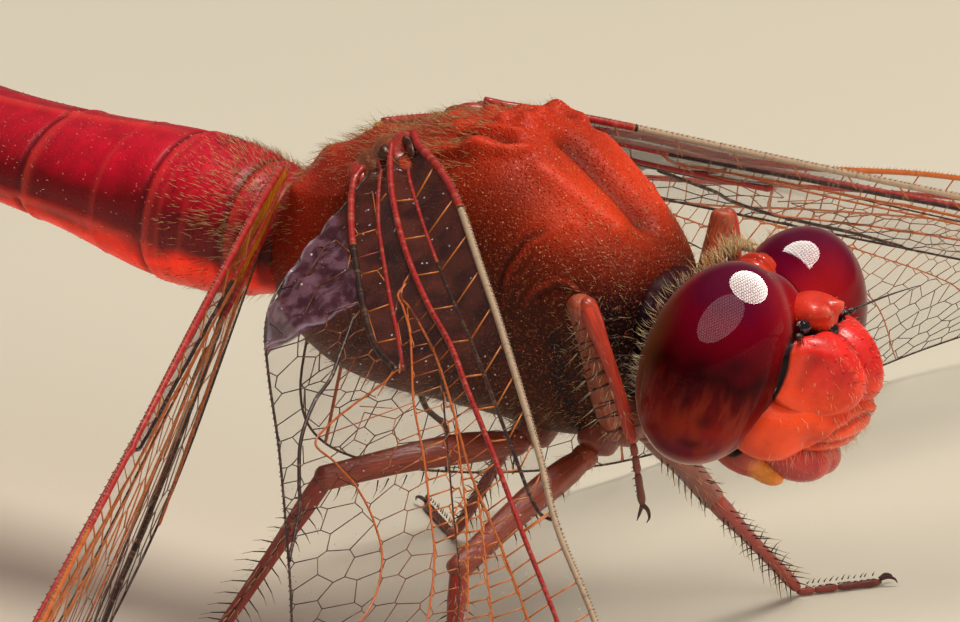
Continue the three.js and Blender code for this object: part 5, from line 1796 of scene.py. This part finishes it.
def makeHeadHair():
    # The pale brush behind each eye and the golden tuft behind the crown.
    coat = coats["fringe"]
    radii, untilt = np.array(eyes["radii"]), turnAbout("x", -eyes["lean"]).T
    count = coat["count"]
    for word, _, side in sidesOfBody:
        around = np.radians(varied(count, -75, 205))  # from under the eye, round its outer side, to the top
        back = varied(count, *coat["back"])
        rim = np.sqrt(1 - (back / radii[0]) ** 2) * 0.985
        local = np.column_stack([back, radii[1] * np.cos(around) * rim, radii[2] * np.sin(around) * rim])
        roots = local @ untilt + eyeCentre
        outward = unitRows(local / radii**2) @ untilt
        ways = unitRows(outward + np.array((-0.35, 0, 0.2)) + ramble(count, 0.42))
        lengths = varied(count, *coat["length"])
        bends = (-0.2, 0, 0.25) + ramble(count, 0.2)
        spots = np.column_stack([(around + 1.4) / 4.4, back - sum(coat["back"]) + 0.2])
        roots, ways, bends = (sided(values, side) for values in (roots, ways, bends))
        makeHairs("eyeFringe" + word, "dark_shell", fromHead(roots), ways @ headTurn.T, bends, lengths,
                  coat["radius"], spots, varied(count, 0.62, 0.38))
    coat = coats["crown"]
    count = coat["count"]
    across = 1.15 * (2 * dice.random(count) - 1)
    back = -0.95 - 0.45 * dice.random(count)
    roots = np.column_stack([back, across, 1.72 - 0.28 * across**2 + 0.3 * (back + 0.95)])
    ways = unitRows(np.column_stack([-0.45 + 0 * across, 0.3 * across, 1 + 0 * across]) + ramble(count, 0.28))
    spots = np.column_stack([across / 2.4 + 0.5, (back + 1.4) * 1.5 + 0.1])
    bends = (-0.5, 0, 0) + ramble(count, 0.3)
    makeHairs("crownTuft", "dark_shell", fromHead(roots), ways @ headTurn.T, bends,
              varied(count, *coat["length"]), coat["radius"], spots, varied(count, 0.6, 0.25))


def makeFaceHair():
    coat = coats["face"]
    shape = Shape()
    for index, (name, (count, length, tone)) in enumerate(coat["plates"].items()):
        points, ways = faceGrids[name]
        weights = np.clip((points[..., 0] - 0.9) / 0.8, 0.02, 1)
        weights = weights * np.clip(1.7 - np.abs(points[..., 1]) / 0.8, 0.1, 1)
        roots, outward, spots = scatter(points, ways, weights, count)
        heading = comb(roots, outward, np.array((0.4, 0, -0.9)), 0.6)
        lengths = length * varied(count, 0.6, 0.8)
        if name == "clypeus":
            lengths = lengths * (1 + 0.8 * held((-0.9 - roots[:, 2]) / 0.4))
        addHairs(shape, fromHead(roots), heading @ headTurn.T, ramble(count, 0.25) + (0, 0, -0.2), lengths,
                 coat["radius"], (spots + (index % 3, index // 3)) / 3, varied(count, tone, 0.05))
    makePiece("faceHair", shape, hair)
    shape = Shape()
    for index, (name, (count, length)) in enumerate(coats["bristles"].items()):
        points, ways = faceGrids[name]
        weights = held((points[..., 0] - 1.6) / 0.8) * np.clip((points[..., 2] + 0.2) / 0.6, 0.03, 1)
        roots, outward, spots = scatter(points, ways, weights, count)
        heading = comb(roots, outward, np.array((0.6, 0, 0.6)), 0.75, 0.15)
        addHairs(shape, fromHead(roots), heading @ headTurn.T, ramble(count, 0.15) + (0, 0, 0.2),
                 length * varied(count, 0.6, 0.7), 0.007, (spots + (index, 2)) / 3, varied(count, 0, 0.05))
    makePiece("faceBristles", shape, hair)


def makeAbdomenHair():
    x, _, z = np.moveaxis(abdomenSkin, -1, 0)
    base = held((x + 3.2) / 2.2) * np.clip((z + 0.5) / 0.8, 0.1, 1)
    weights = 0.1 + 2.2 * base
    weights[x > -0.15] = weights[-4:] = 0
    roots, out, spots = scatter(abdomenSkin, outwardNormals(abdomenSkin), weights, coats["abdomen"]["count"])
    count = len(roots)
    near = held((roots[:, 0] + 3.2) / 2.2)
    lengths = (0.08 + 0.22 * near) * varied(count, 0.6, 0.7)
    ways = comb(roots, out, np.array((-1, 0, 0)) + ramble(count, 0.15), 0.25 + 0.2 * near[:, None], 0.12)
    tones = np.where(dice.random(count) < 0.35 + 0.6 * near, varied(count, 0.55, 0.2), 0.1)
    makeHairs("abdomenHair", "abdomen_shell", fromAbdomen(roots), ways @ abdomenTurn.T,
              np.array((-0.3, 0, -0.1)), lengths, coats["abdomen"]["radius"], spots, tones)


def makeLegHair():
    coat = coats["legs"]
    count = coat["count"]
    shape = Shape()
    for index, (hip, knee, ankle, *_) in enumerate(legs.values()):
        for part, (start, end, radius) in enumerate(((hip, knee, 0.32), (knee, ankle, 0.2))):
            start, reach = np.array(start), np.subtract(end, start)
            along, turn = varied(count, 0.04, 0.92), 2 * np.pi * dice.random(count)
            way = unitRows(reach)
            first = unitRows(np.cross(way, (0.2, 0.3, 0.93)))
            out = np.cos(turn)[:, None] * first + np.sin(turn)[:, None] * np.cross(way, first)
            roots = start + reach * along[:, None] + out * radius * 0.92
            heading = unitRows(out * 0.6 + way * 0.7 + ramble(count, 0.15))
            spots = np.column_stack([(index + 0.05 + 0.9 * along) / 6, (part + turn / 6.6) / 2])
            addHairs(shape, roots, heading, ramble(count, 0.2), coat["length"] * varied(count, 0.5, 0.8),
                     coat["radius"], spots, varied(count, 0.65, 0.3))
    for points in shape.points:
        points[:, 2] = np.maximum(points[:, 2], floorLevel + 0.02)
    makePiece("legHair", shape, hair)


makeThoraxHair()
makeHeadHair()
makeFaceHair()
makeAbdomenHair()
makeLegHair()
print("hair made")
